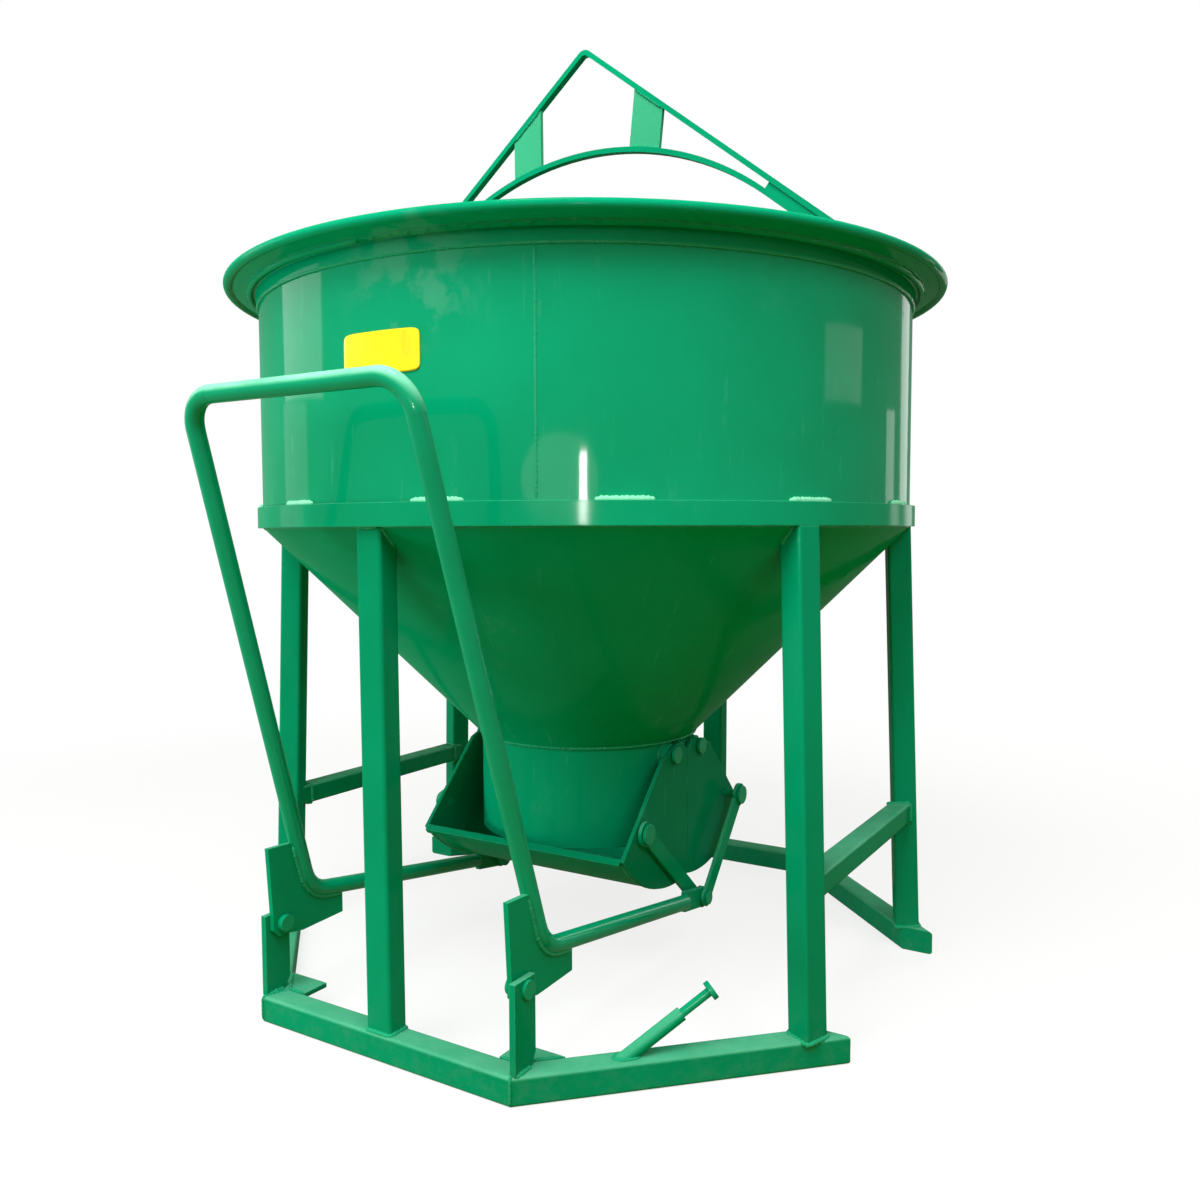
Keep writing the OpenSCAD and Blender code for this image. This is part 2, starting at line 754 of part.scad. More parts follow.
module stop_rod() {
  color([0.1, 0.45, 0.28]) union() {
    along_rod(rod_in, rod_in + rod_len + head_t / 2, rod_r);
    along_rod(rod_in + rod_len, rod_in + rod_len + head_t, head_r);
  }
}

module flip_x() {
  mirror([1, 0, 0]) children();
}

module flip_y() {
  mirror([0, 1, 0]) children();
}

barrel();
rim();
stiffener_band();
hopper_cone();
discharge_spout();
mid_leg();  // leg_front
corner_leg();  // leg_front_right
flip_x() corner_leg();  // leg_front_left
flip_y() mid_leg();  // leg_back
flip_y() corner_leg();  // leg_back_right
flip_x() flip_y() corner_leg();  // leg_back_left
mid_beam();  // base_front
diag_beam();  // base_front_right
flip_x() diag_beam();  // base_front_left
flip_y() mid_beam();  // base_back
flip_y() diag_beam();  // base_back_right
flip_x() flip_y() diag_beam();  // base_back_left
brace_bar();  // brace_right
flip_x() brace_bar();  // brace_left
corner_plate();  // corner_plate_right
flip_x() corner_plate();  // corner_plate_left
pivot_tab();  // pivot_tab_right
flip_x() pivot_tab();  // pivot_tab_left
handle_pin();  // handle_pin_right
flip_x() handle_pin();  // handle_pin_left
gate_pin();  // gate_pin_front_right
flip_x() gate_pin();  // gate_pin_front_left
flip_y() gate_pin();  // gate_pin_back_right
flip_x() flip_y() gate_pin();  // gate_pin_back_left
bail_bar();
bail_arch();
bail_web(web_lean_right);  // bail_web_right
flip_x() bail_web(web_lean_left);  // bail_web_left
bail_foot();  // bail_foot_right
flip_x() bail_foot();  // bail_foot_left
rod_socket();
stop_rod();
handle_tube();
handle_plate();  // handle_plate_right
flip_x() handle_plate();  // handle_plate_left
arm_lug();  // arm_lug_right
flip_x() arm_lug();  // arm_lug_left
arm_pin();  // arm_pin_right
flip_x() arm_pin();  // arm_pin_left
gate_pan();  // front_pan
gate_side();  // front_side_right
flip_x() gate_side();  // front_side_left
gate_link_pin(fl_x1);  // front_link_pin_right
flip_x() gate_link_pin(fl_x1);  // front_link_pin_left
flip_y() gate_pan();  // back_pan
flip_y() gate_side();  // back_side_right
flip_x() flip_y() gate_side();  // back_side_left
flip_y() gate_link_pin(bl_x1);  // back_link_pin_right
flip_x() flip_y() gate_link_pin(bl_x1);  // back_link_pin_left
link(E, G1, fl_x0, fl_x1);  // front_link_right
flip_x() link(E, G1, fl_x0, fl_x1);  // front_link_left
link(E, G2, bl_x0, bl_x1);  // back_link_right
flip_x() link(E, G2, bl_x0, bl_x1);  // back_link_left
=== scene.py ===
"""Looks of a crane-lifted concrete bucket: green enamel, weld beads, a bare plate, stage and camera."""

import json
import math

import bmesh
import bpy
import numpy as np
from mathutils import Matrix, Vector

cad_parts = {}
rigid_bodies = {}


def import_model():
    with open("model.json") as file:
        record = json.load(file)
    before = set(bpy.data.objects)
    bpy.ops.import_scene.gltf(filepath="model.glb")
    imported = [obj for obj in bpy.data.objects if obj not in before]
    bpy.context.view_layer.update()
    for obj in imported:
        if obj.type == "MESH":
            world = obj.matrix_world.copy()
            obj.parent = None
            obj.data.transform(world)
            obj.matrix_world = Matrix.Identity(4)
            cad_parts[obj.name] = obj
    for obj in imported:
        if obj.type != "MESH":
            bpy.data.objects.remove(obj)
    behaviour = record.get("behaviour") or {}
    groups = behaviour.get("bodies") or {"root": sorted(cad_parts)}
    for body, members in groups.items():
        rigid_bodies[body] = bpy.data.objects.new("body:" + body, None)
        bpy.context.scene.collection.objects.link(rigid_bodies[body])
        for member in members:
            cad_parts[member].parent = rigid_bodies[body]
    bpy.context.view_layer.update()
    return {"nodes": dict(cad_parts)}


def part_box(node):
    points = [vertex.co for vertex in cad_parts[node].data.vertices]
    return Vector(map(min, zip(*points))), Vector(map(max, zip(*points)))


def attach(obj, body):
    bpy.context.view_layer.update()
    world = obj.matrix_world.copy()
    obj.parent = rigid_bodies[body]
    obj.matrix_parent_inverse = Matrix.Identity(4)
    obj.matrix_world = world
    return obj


bl_info = {
    "name": "Concrete bucket",
    "version": (1, 0, 0),
    "blender": (4, 5, 0),
    "location": "View3D > Sidebar > Bucket",
    "description": "Paints the packed bucket, adds its welds and fittings and sets the stage",
    "category": "Object",
}

for leftover in list(bpy.data.objects):
    bpy.data.objects.remove(leftover)
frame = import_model()

# Barrel, cone and spout, in metres

BARREL_R = 0.711
SHEET_T = 0.005
BARREL_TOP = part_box("barrel")[1].z
BARREL_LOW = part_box("barrel")[0].z
BAND_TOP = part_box("stiffener_band")[1].z
CONE_R = 0.249
CONE_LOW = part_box("hopper_cone")[0].z
SPOUT_R = 0.244

# Legs, base and rod socket, in metres and radians

TUBE = 0.0508
TUBE_ROUND = 0.006
BASE_A = 0.713
EIGHTH = math.tan(math.radians(22.5))
INNER_X = (BASE_A - TUBE) * EIGHTH
DIAGONAL = (BASE_A - TUBE / 2) * math.sqrt(2)
MID_W = 0.057
MID_D = 0.044
MID_SET = 0.006
LEG_R_TOP = 0.697
LEG_FOOT = (0.6574, 0.3150)
LEG_AZ = math.atan2(*LEG_FOOT)
LEG_R_FOOT = math.hypot(*LEG_FOOT)
BRACE_ROUND = 0.006
SOCKET_R = 0.0125
SOCKET_SLOPE = math.radians(33.5)
SOCKET_SET = 0.091

# Handle and gate, in metres and radians; pairs are y and z

ELBOW = (-0.600, 0.229)
GRIP = (-0.882, 1.175)
ARM_X = 0.284
GRIP_X = 0.246
PIPE_R = 0.016
ELBOW_BEND = 0.070
PLATE_HALF = 0.005
PLATE_UP = 0.110
PLATE_ALONG = 0.084
ARM_END = (0.025, 0.130)
LUG_LEN = 0.088
LUG_REACH = (0.0125, 0.0165)
GATE_PIVOT = (-0.060, 0.463)
PAN_R = 0.283
PAN_LIP = math.radians(180 + 41)
PAN_PAST_PIVOT = 0.058
SIDE_X = 0.250
BOSS_R = 0.0225

# Bail, in metres, with a share of its rise and a count of tries; the pair is x and z

BAIL_FOOT = (0.694, 1.452)
BAIL_PEAK = 2.008
BAIL_BAR = 0.011
BAIL_HALF = 0.0085
BAIL_ROUND = 0.001
BAIL_GAP = 0.014
BAIL_RISE = 0.567
WEB_IN = 0.120
WEB_W = 0.075
WEB_LEAN = {1: 0.060, -1: 0.005}
WEB_LEVEL = 2 / 3
WEB_TRIES = 8
WEB_FACE = 0.0055
PAD_HALF = 0.030

# Bare plate: grid points, power of its outline, angle in radians, then metres

PLATE_GRID = (25, 41)
PLATE_POWER = 9.0
PLATE_TURN = math.radians(2.7)
PLATE_Z = 1.248
PLATE_OFF = 0.0004
PLATE_T = 0.0016

# Radii of the weld beads, in metres, by what they join

BEAD = {
    "stitch": 0.0058, "seam": 0.0036, "barrel_foot": 0.0045, "rim": 0.0034, "spout": 0.0048,
    "leg_foot": 0.0046, "leg_head": 0.0042, "band": 0.0048, "mitre": 0.0024, "brace": 0.0042,
    "tab": 0.0052, "corner_plate": 0.003, "socket": 0.004, "web": 0.0032, "pad": 0.005,
    "bail_end": 0.0036, "handle_plate": 0.0046, "lug": 0.0042, "pan": 0.0026, "boss": 0.0036,
}

# Barrel welds: places in degrees from the handle side, and the count of stitches behind

STITCHES = (-16.0, 11.6, 37.2, 65.3, 91.0)
STITCHES_BEHIND = 8
BARREL_SEAM = 25.5
CONE_SEAM = 200.0

# Beads: corners of the ring, swell, unevenness, blunt end, points on a short line, and fill at round edges

RING_SIDES = 8
SWELL = 0.16
UNEVEN = 0.07
BLUNT = 0.12
LINE_POINTS = 12
WELD_FILL = 0.5


# Grid surfaces

def grid_faces(rows, columns, wrap):
    """Quads between the points of a grid that is stored row by row; wrap closes each row on itself."""
    last = columns if wrap else columns - 1
    i, j = np.meshgrid(np.arange(rows - 1), np.arange(last), indexing="ij")
    k = (j + 1) % columns
    quads = np.stack([i * columns + j, i * columns + k, (i + 1) * columns + k, (i + 1) * columns + j], -1)
    return quads.reshape(-1, 4)


def new_object(name, points, faces):
    """Puts points and faces into a smooth mesh object whose place is in its mesh."""
    mesh = bpy.data.meshes.new(name)
    mesh.from_pydata(np.asarray(points, float).tolist(), [], faces)
    mesh.validate()
    mesh.polygons.foreach_set("use_smooth", np.ones(len(mesh.polygons), bool))
    mesh.update()
    made = bpy.data.objects.new(name, mesh)
    bpy.context.scene.collection.objects.link(made)
    return made


def evenly(points, step, closed=False):
    """A polyline's points again, spaced evenly, about a step apart, and their distances along it."""
    points = np.asarray(points, float)
    if closed:
        points = np.vstack([points, points[:1]])
    run = np.concatenate([[0.0], np.cumsum(np.linalg.norm(np.diff(points, axis=0), axis=1))])
    count = max(4, int(round(run[-1] / step)) + 1)
    at = np.linspace(0.0, run[-1], count)
    return np.stack([np.interp(at, run, points[:, axis]) for axis in range(3)], 1), at


def round_z(radius, z, start, end, count=64):
    """Arc about the bucket's axis; azimuth 0 faces the handle side, and angles are in degrees."""
    turn = np.radians(np.linspace(start, end, count))
    return np.stack([radius * np.sin(turn), -radius * np.cos(turn), np.full(count, z)], 1)


def upright(radius, low, high, azimuth):
    """A straight line up the barrel at an azimuth in degrees."""
    return np.vstack([round_z(radius, z, azimuth, azimuth, 1) for z in (low, high)])


def round_box(width, height, corner, count=6):
    """Outline of a box with rounded corners about its middle: each corner is a quarter circle."""
    turn = np.radians(np.linspace(0, 90, count)[None, :] + np.arange(0, 360, 90)[:, None])
    middle = np.radians(np.arange(45, 360, 90))[:, None]
    x = np.sign(np.cos(middle)) * (width / 2 - corner) + corner * np.cos(turn)
    y = np.sign(np.sin(middle)) * (height / 2 - corner) + corner * np.sin(turn)
    return np.stack([x.ravel(), y.ravel()], 1)


def beam_top(off):
    """Height of a base tube's rounded top at a distance off its middle line, half filled by weld."""
    into = np.clip(np.abs(off) - (TUBE / 2 - TUBE_ROUND), 0, TUBE_ROUND)
    return TUBE - WELD_FILL * (TUBE_ROUND - np.sqrt(TUBE_ROUND ** 2 - into ** 2))


def mirrored(path, x=True, y=False):
    """The path on the other side of the bucket, across x, across y or both."""
    return np.asarray(path, float) * [-1 if x else 1, -1 if y else 1, 1]


class Beads:
    """Collects weld beads into one mesh."""

    def __init__(self, pitch, seed):
        self.pitch = pitch
        self.random = np.random.default_rng(seed)
        self.points = []
        self.faces = []
        self.total = 0

    def add(self, path, radius, closed=False):
        """A bead is a ring of points carried along its path.

        The ring's radius swells once in each pitch, as the runs of a weld overlap, and shrinks to a blunt
        point at both ends. Rings lie across the path's direction. A closed bead joins its own start.
        """
        line, at = evenly(path, self.pitch / 3, closed)
        if closed:
            line, at = line[:-1], at[:-1]
        along = np.roll(line, -1, 0) - np.roll(line, 1, 0) if closed else np.gradient(line, axis=0)
        along /= np.linalg.norm(along, axis=1)[:, None]
        helper = np.where(np.abs(along[:, 2:]) > 0.9, [[1.0, 0.0, 0.0]], [[0.0, 0.0, 1.0]])
        across = np.cross(along, helper)
        across /= np.linalg.norm(across, axis=1)[:, None]
        other = np.cross(across, along)
        swell = 1.0 + SWELL * np.sin(2 * math.pi * at / self.pitch) + self.random.normal(0.0, UNEVEN, len(at))
        if not closed:
            ends = np.minimum(at, at[-1] - at)
            swell *= np.sqrt(np.clip(ends / (2.0 * radius) + BLUNT, 0.0, 1.0))
        turn = np.arange(RING_SIDES) * 2 * math.pi / RING_SIDES
        ring = across[:, None] * np.cos(turn)[None, :, None] + other[:, None] * np.sin(turn)[None, :, None]
        points = (line[:, None] + ring * (radius * swell)[:, None, None]).reshape(-1, 3)
        rows = len(line)
        if closed:
            faces = (grid_faces(rows + 1, RING_SIDES, True) % len(points) + self.total).tolist()
        else:
            faces = (grid_faces(rows, RING_SIDES, True) + self.total).tolist()
            first = np.arange(RING_SIDES) + self.total
            last = first + (rows - 1) * RING_SIDES
            faces += [first.tolist()[::-1], last.tolist()]
        self.points.append(points)
        self.faces += faces
        self.total += len(points)

    def piece(self, name, body, material):
        """The collected beads as one piece that rides on a body."""
        made = new_object(name, np.vstack(self.points), self.faces)
        made.data.materials.append(material)
        outward(made)
        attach(made, body)
        return made


def outward(piece):
    """Turns a closed mesh's faces outwards."""
    shape = bmesh.new()
    shape.from_mesh(piece.data)
    bmesh.ops.recalc_face_normals(shape, faces=shape.faces)
    shape.to_mesh(piece.data)
    shape.free()


# Paint patterns: noise scale, detail and roughness, then a step's start and end, and for some its shares

TONE = (1.9, 4.0, 0.6, 0.3, 0.7)
PATCHES = (7.0, 7.0, 0.68, 0.60, 0.74)
RUNS = (1.0, 5.0, 0.6, 0.60, 0.70)
RUN_GAPS = (22.0, 4.0, 0.6, 0.45, 0.62)
MOTTLE = (16.0, 5.0, 0.6, 0.46, 0.60)
# The next pattern breaks up the pale edges, which are partly chipped paint and partly a painted highlight.
EDGE_BREAKS = (60.0, 4.0, 0.6, 0.35, 0.75, 0.35, 0.9)
# The next pattern breaks up the painted highlight on faces that look up.
TOP_LIGHT_MOTTLE = (9.0, 4.0, 0.6, 0.3, 0.7, 0.6, 1.0)
SPECKS = (35.0, 6.0, 0.7, 0.42, 0.72)
PLATE_STREAKS = (40.0, 6.0, 0.7, 0.5, 0.8)
PLATE_ROUGH = (30.0, 4.0, 0.6, 0.3, 0.7, 0.25, 0.42)

# Noise for bumps: scale, detail and roughness

DENTS = (4.5, 2.0, 0.4)
GRAIN = (400.0, 2.0, 0.5)

# Other values of the paint; distances and heights in metres

RUN_AROUND = 34.0
RUN_UP = 3.2
RUBBED = (0.098, -0.704, 1.37)
RUBBED_REACH = (0.17, 0.05)
RUBBED_SHARE = 0.45
EDGE_FACING = (0.985, 0.88)
# Which faces take the painted highlight: those that look up, and where asked only those in the upper half.
LOOKS_UP = (0.0, 0.6)
UPPER_HALF = (0.6, 1.1)
DUST_HEIGHT = (0.16, 0.0)
PAINT_ROUGH = 0.4
DENT_STRENGTH = 0.6
PLATE_DIRT_SHARE = 0.35


class Nodes:
    """Short calls for building a node tree."""

    def __init__(self, owner):
        owner.use_nodes = True
        self.owner = owner
        self.tree = owner.node_tree
        self.tree.nodes.clear()

    def add(self, kind, inputs=None, **values):
        """Adds a node, sets its values and fills or links its inputs."""
        node = self.tree.nodes.new(kind)
        for key, value in values.items():
            setattr(node, key, value)
        for key, value in (inputs or {}).items():
            self.put(node, key, value)
        return node

    def put(self, node, key, value):
        """Fills one input, or links it when the value is another node's socket."""
        socket = node.inputs[key]
        if isinstance(value, bpy.types.NodeSocket):
            self.tree.links.new(value, socket)
        else:
            socket.default_value = value

    def place(self):
        """The point in the object's own coordinates."""
        return self.add("ShaderNodeTexCoord").outputs["Object"]

    def noise(self, where, scale, detail, rough):
        """Noise from 0 to 1."""
        return self.add("ShaderNodeTexNoise", {"Vector": where, "Scale": scale, "Detail": detail,
                                               "Roughness": rough}).outputs["Fac"]

    def between(self, value, low, high, to_low=0.0, to_high=1.0):
        """A smooth step from one share to another while the value goes from low to high."""
        node = self.add("ShaderNodeMapRange", {"Value": value, "From Min": low, "From Max": high,
                                               "To Min": to_low, "To Max": to_high})
        node.interpolation_type = "SMOOTHSTEP"
        return node.outputs["Result"]

    def pattern(self, where, scale, detail, rough, *steps):
        """Noise that is cut to a pattern by a smooth step."""
        return self.between(self.noise(where, scale, detail, rough), *steps)

    def mix(self, share, one, two):
        """Colour one where the share is 0 and colour two where it is 1."""
        node = self.add("ShaderNodeMix", data_type="RGBA")
        self.put(node, 0, share)
        self.put(node, 6, one)
        self.put(node, 7, two)
        return node.outputs[2]

    def times(self, one, two):
        """The product of two values."""
        return self.add("ShaderNodeMath", {0: one, 1: two}, operation="MULTIPLY").outputs[0]

    def split(self, vector):
        """The three parts of a vector."""
        return self.add("ShaderNodeSeparateXYZ", {0: vector}).outputs

    def stretched(self, where, factors):
        """The point with each axis scaled."""
        return self.add("ShaderNodeMapping", {"Vector": where, "Scale": factors}).outputs[0]


def rgba(colour):
    """A colour with full cover."""
    return (colour[0], colour[1], colour[2], 1.0)


def fresh_material(name):
    """The material of that name, made if there is none."""
    return bpy.data.materials.get(name) or bpy.data.materials.new(name)


def run_marks_and_reflections(n, where):
    """Share of lighter broken streaks that run down the sheet, by angle about the bucket's axis and height:
    partly rub marks and partly painted reflections.
    """
    part = n.split(where)
    front = n.times(part["Y"], -1.0)
    angle = n.add("ShaderNodeMath", {0: part["X"], 1: front}, operation="ARCTAN2").outputs[0]
    spread = n.add("ShaderNodeCombineXYZ", {"X": n.times(angle, RUN_AROUND), "Y": n.times(part["Z"], RUN_UP)})
    return n.times(n.pattern(spread.outputs[0], *RUNS), n.pattern(where, *RUN_GAPS))


def rubbed_spot(n, where):
    """Share of the mottled grey spot near the rim."""
    apart = n.add("ShaderNodeVectorMath", {0: where, 1: RUBBED}, operation="DISTANCE").outputs["Value"]
    spot = n.times(n.between(apart, *RUBBED_REACH), n.pattern(where, *MOTTLE))
    return n.times(spot, RUBBED_SHARE)


def worn_and_highlit_edges(n, where, rounded, flat):
    """Share of pale edges, partly chipped paint and partly a painted highlight: where the rounded normal
    leaves the flat one.
    """
    facing = n.add("ShaderNodeVectorMath", {0: rounded, 1: flat}, operation="DOT_PRODUCT").outputs["Value"]
    return n.times(n.between(facing, *EDGE_FACING), n.pattern(where, *EDGE_BREAKS))


def painted_top_light(n, where, flat, height, high):
    """Share of painted highlight on faces that look up, as if lit from above; high keeps it to the bucket's
    upper half.
    """
    upward = n.between(n.split(flat)["Z"], *LOOKS_UP)
    top_light = n.pattern(where, *TOP_LIGHT_MOTTLE)
    if high:
        top_light = n.times(top_light, n.between(height, *UPPER_HALF))
    return n.times(upward, top_light)


def enamel(name, look, wave=0.0, grime=0.0, edge=0.0025, scuff=0.2, runs=0.0, rub=False, pale=0.0, coat=1.0,
           gloss=0.1, top_light_share=0.0, high=False, painted_shade=0.0):
    """Sprayed green enamel: uneven tone, rubbed patches, dust low down, pale edges, a painted highlight on
    faces that look up, a painted shade, a painted sheen and a clear coat.

    wave is the height in metres of the sheet's slow dents, grime is the share of dust near the floor, edge
    is the radius in metres of rounded and worn edges, and 0 leaves the edges as they are; their pale colour
    is partly rubbed paint and partly a painted highlight. scuff is the share of rubbed patches, runs is the
    share of lighter streaks that run down the wall, partly rub marks and partly painted reflections, rub
    adds the grey spot near the rim, and pale is the share of the weld colour, a painted sheen. coat is the
    share of the clear coat and gloss is its roughness. tops is the share of painted highlight on faces that
    look up, high keeps that to the upper half, and deep is the share of painted shade that darkens the paint.
    """
    n = Nodes(fresh_material(name))
    where = n.place()
    tone = n.pattern(where, *TONE)
    # The paint is made darker by deep, which is a painted shade.
    top = [(1 - painted_shade) * ((1 - pale) * a + pale * b) for a, b in zip(look.enamel, look.weld)]
    low = [(1 - painted_shade) * ((1 - pale) * a + pale * b) for a, b in zip(look.enamel_deep, look.weld)]
    # Above, pale lightens the paint toward the weld colour, which is a painted sheen.
    colour = n.mix(tone, rgba(top), rgba(low))
    patches = n.pattern(n.stretched(where, (1.0, 1.0, 0.6)), *PATCHES)
    colour = n.mix(n.times(patches, scuff), colour, rgba(look.scuff))
    # Lighter streaks down the sheet, partly rub marks and partly painted reflections of legs and handle.
    if runs > 0.0:
        colour = n.mix(n.times(run_marks_and_reflections(n, where), runs), colour, rgba(look.scuff))
    if rub:
        colour = n.mix(rubbed_spot(n, where), colour, rgba(look.grey))
    flat = n.add("ShaderNodeNewGeometry").outputs["Normal"]
    height = n.split(where)["Z"]
    shape = flat
    # Rounded edges turn pale, partly as chipped paint and partly as a painted highlight.
    if edge > 0.0:
        shape = n.add("ShaderNodeBevel", {"Radius": edge}, samples=8).outputs["Normal"]
        colour = n.mix(n.times(worn_and_highlit_edges(n, where, shape, flat), look.edge_wear_and_highlight), colour, rgba(look.edge))
    # Painted highlight: faces that look up are made paler, as if lit from above.
    if top_light_share > 0.0:
        colour = n.mix(n.times(painted_top_light(n, where, flat, height, high), top_light_share), colour, rgba(look.top_light))
    if grime > 0.0:
        dust = n.times(n.between(height, *DUST_HEIGHT), n.pattern(where, *SPECKS))
        colour = n.mix(n.times(dust, grime), colour, rgba(look.dust))
    if wave > 0.0:
        slow = n.noise(n.stretched(where, (1.0, 1.0, 0.45)), *DENTS)
        shape = n.add("ShaderNodeBump", {"Strength": DENT_STRENGTH, "Distance": wave, "Height": slow,
                                         "Normal": shape}).outputs["Normal"]
    paint = n.add("ShaderNodeBsdfPrincipled", {
        "Base Color": colour, "Roughness": PAINT_ROUGH, "Normal": shape, "Specular IOR Level": look.shine,
        "Coat Weight": look.coat * coat, "Coat Roughness": gloss, "Coat Normal": shape})
    n.add("ShaderNodeOutputMaterial", {0: paint.outputs[0]})
    return n.owner


def plate_paint(name, look):
    """Yellow sheet plate: even colour with a little dirt in upright streaks and a fine grain."""
    n = Nodes(fresh_material(name))
    where = n.place()
    dirt = n.pattern(n.stretched(where, (1.0, 1.0, 0.35)), *PLATE_STREAKS)
    colour = n.mix(n.times(dirt, PLATE_DIRT_SHARE), rgba(look.plate), rgba(look.plate_dirt))
    rough = n.pattern(where, *PLATE_ROUGH)
    bump = n.add("ShaderNodeBump", {"Strength": 0.08, "Distance": 0.0005,
                                    "Height": n.noise(where, *GRAIN)}).outputs["Normal"]
    paint = n.add("ShaderNodeBsdfPrincipled", {"Base Color": colour, "Roughness": rough, "Normal": bump,
                                               "Specular IOR Level": 0.35})
    n.add("ShaderNodeOutputMaterial", {0: paint.outputs[0]})
    return n.owner


# Properties

class BucketLook(bpy.types.PropertyGroup):
    enamel: bpy.props.FloatVectorProperty(name="Enamel", description="Main green", subtype="COLOR",
                                          size=3, default=(0.0008, 0.320, 0.158), min=0, max=1)
    enamel_deep: bpy.props.FloatVectorProperty(name="Deep enamel", subtype="COLOR", size=3,
                                               description="Green where the coat is thick",
                                               default=(0.0006, 0.268, 0.122), min=0, max=1)
    scuff: bpy.props.FloatVectorProperty(name="Scuff", description="Greyed green of rubbed patches",
                                         subtype="COLOR", size=3, default=(0.05, 0.38, 0.22), min=0, max=1)
    grey: bpy.props.FloatVectorProperty(name="Grey rub", description="Grey of the rubbed spot near the rim",
                                        subtype="COLOR", size=3, default=(0.08, 0.36, 0.23), min=0, max=1)
    # The weld colour is a painted sheen: the light that the tops of the stitch welds catch. It is also used a
    # little on other welds and on the bail's webs.
    weld: bpy.props.FloatVectorProperty(name="Weld", description="Pale green on top of the stitch welds",
                                        subtype="COLOR", size=3, default=(0.30, 0.82, 0.54), min=0, max=1)
    # The edge colour is partly rubbed paint and partly a painted highlight along edges.
    edge: bpy.props.FloatVectorProperty(name="Edge", description="Pale green of rubbed edges",
                                        subtype="COLOR", size=3, default=(0.09, 0.52, 0.30), min=0, max=1)
    # A painted highlight: the pale colour given to faces that look up, as if lit from above.
    top_light: bpy.props.FloatVectorProperty(name="Faded", description="Pale green of faces that look up",
                                         subtype="COLOR", size=3, default=(0.24, 0.68, 0.46), min=0, max=1)
    dust: bpy.props.FloatVectorProperty(name="Dust", description="Dust near the floor", subtype="COLOR",
                                        size=3, default=(0.16, 0.30, 0.20), min=0, max=1)
    plate: bpy.props.FloatVectorProperty(name="Plate", description="Yellow of the bare plate",
                                         subtype="COLOR", size=3, default=(0.85, 0.72, 0.006), min=0, max=1)
    plate_dirt: bpy.props.FloatVectorProperty(name="Plate dirt", description="Dirt on the plate",
                                              subtype="COLOR", size=3, default=(0.35, 0.27, 0.03),
                                              min=0, max=1)
    shine: bpy.props.FloatProperty(name="Shine", description="Specular level of the enamel under its coat",
                                   default=0.0, min=0, max=1, subtype="FACTOR")
    coat: bpy.props.FloatProperty(name="Coat", description="Weight of the clear top of the enamel",
                                  default=0.15, min=0, max=1, subtype="FACTOR")
    # This share of pale on edges is partly wear and partly a painted highlight.
    edge_wear_and_highlight: bpy.props.FloatProperty(name="Edge wear", description="Share of pale paint on edges",
                                       default=0.55, min=0, max=1, subtype="FACTOR")


class BucketSizes(bpy.types.PropertyGroup):
    pitch: bpy.props.FloatProperty(name="Pitch", description="Length of one swell of a bead", default=0.0085,
                                   min=0.004, max=0.02, unit="LENGTH")
    stitch: bpy.props.FloatProperty(name="Stitch", description="Half the angle of a stitch weld on the band",
                                    default=math.radians(4.0), min=0.01, max=0.2, unit="ROTATION")
    plate_width: bpy.props.FloatProperty(name="Plate width", description="Width of the bare plate",
                                         default=0.165, min=0.05, max=0.3, unit="LENGTH")
    plate_height: bpy.props.FloatProperty(name="Plate height", description="Height of the bare plate",
                                          default=0.072, min=0.03, max=0.2, unit="LENGTH")
    lens: bpy.props.FloatProperty(name="Lens", description="Focal length in millimetres", default=31.56,
                                  min=10, max=200)


# Operators

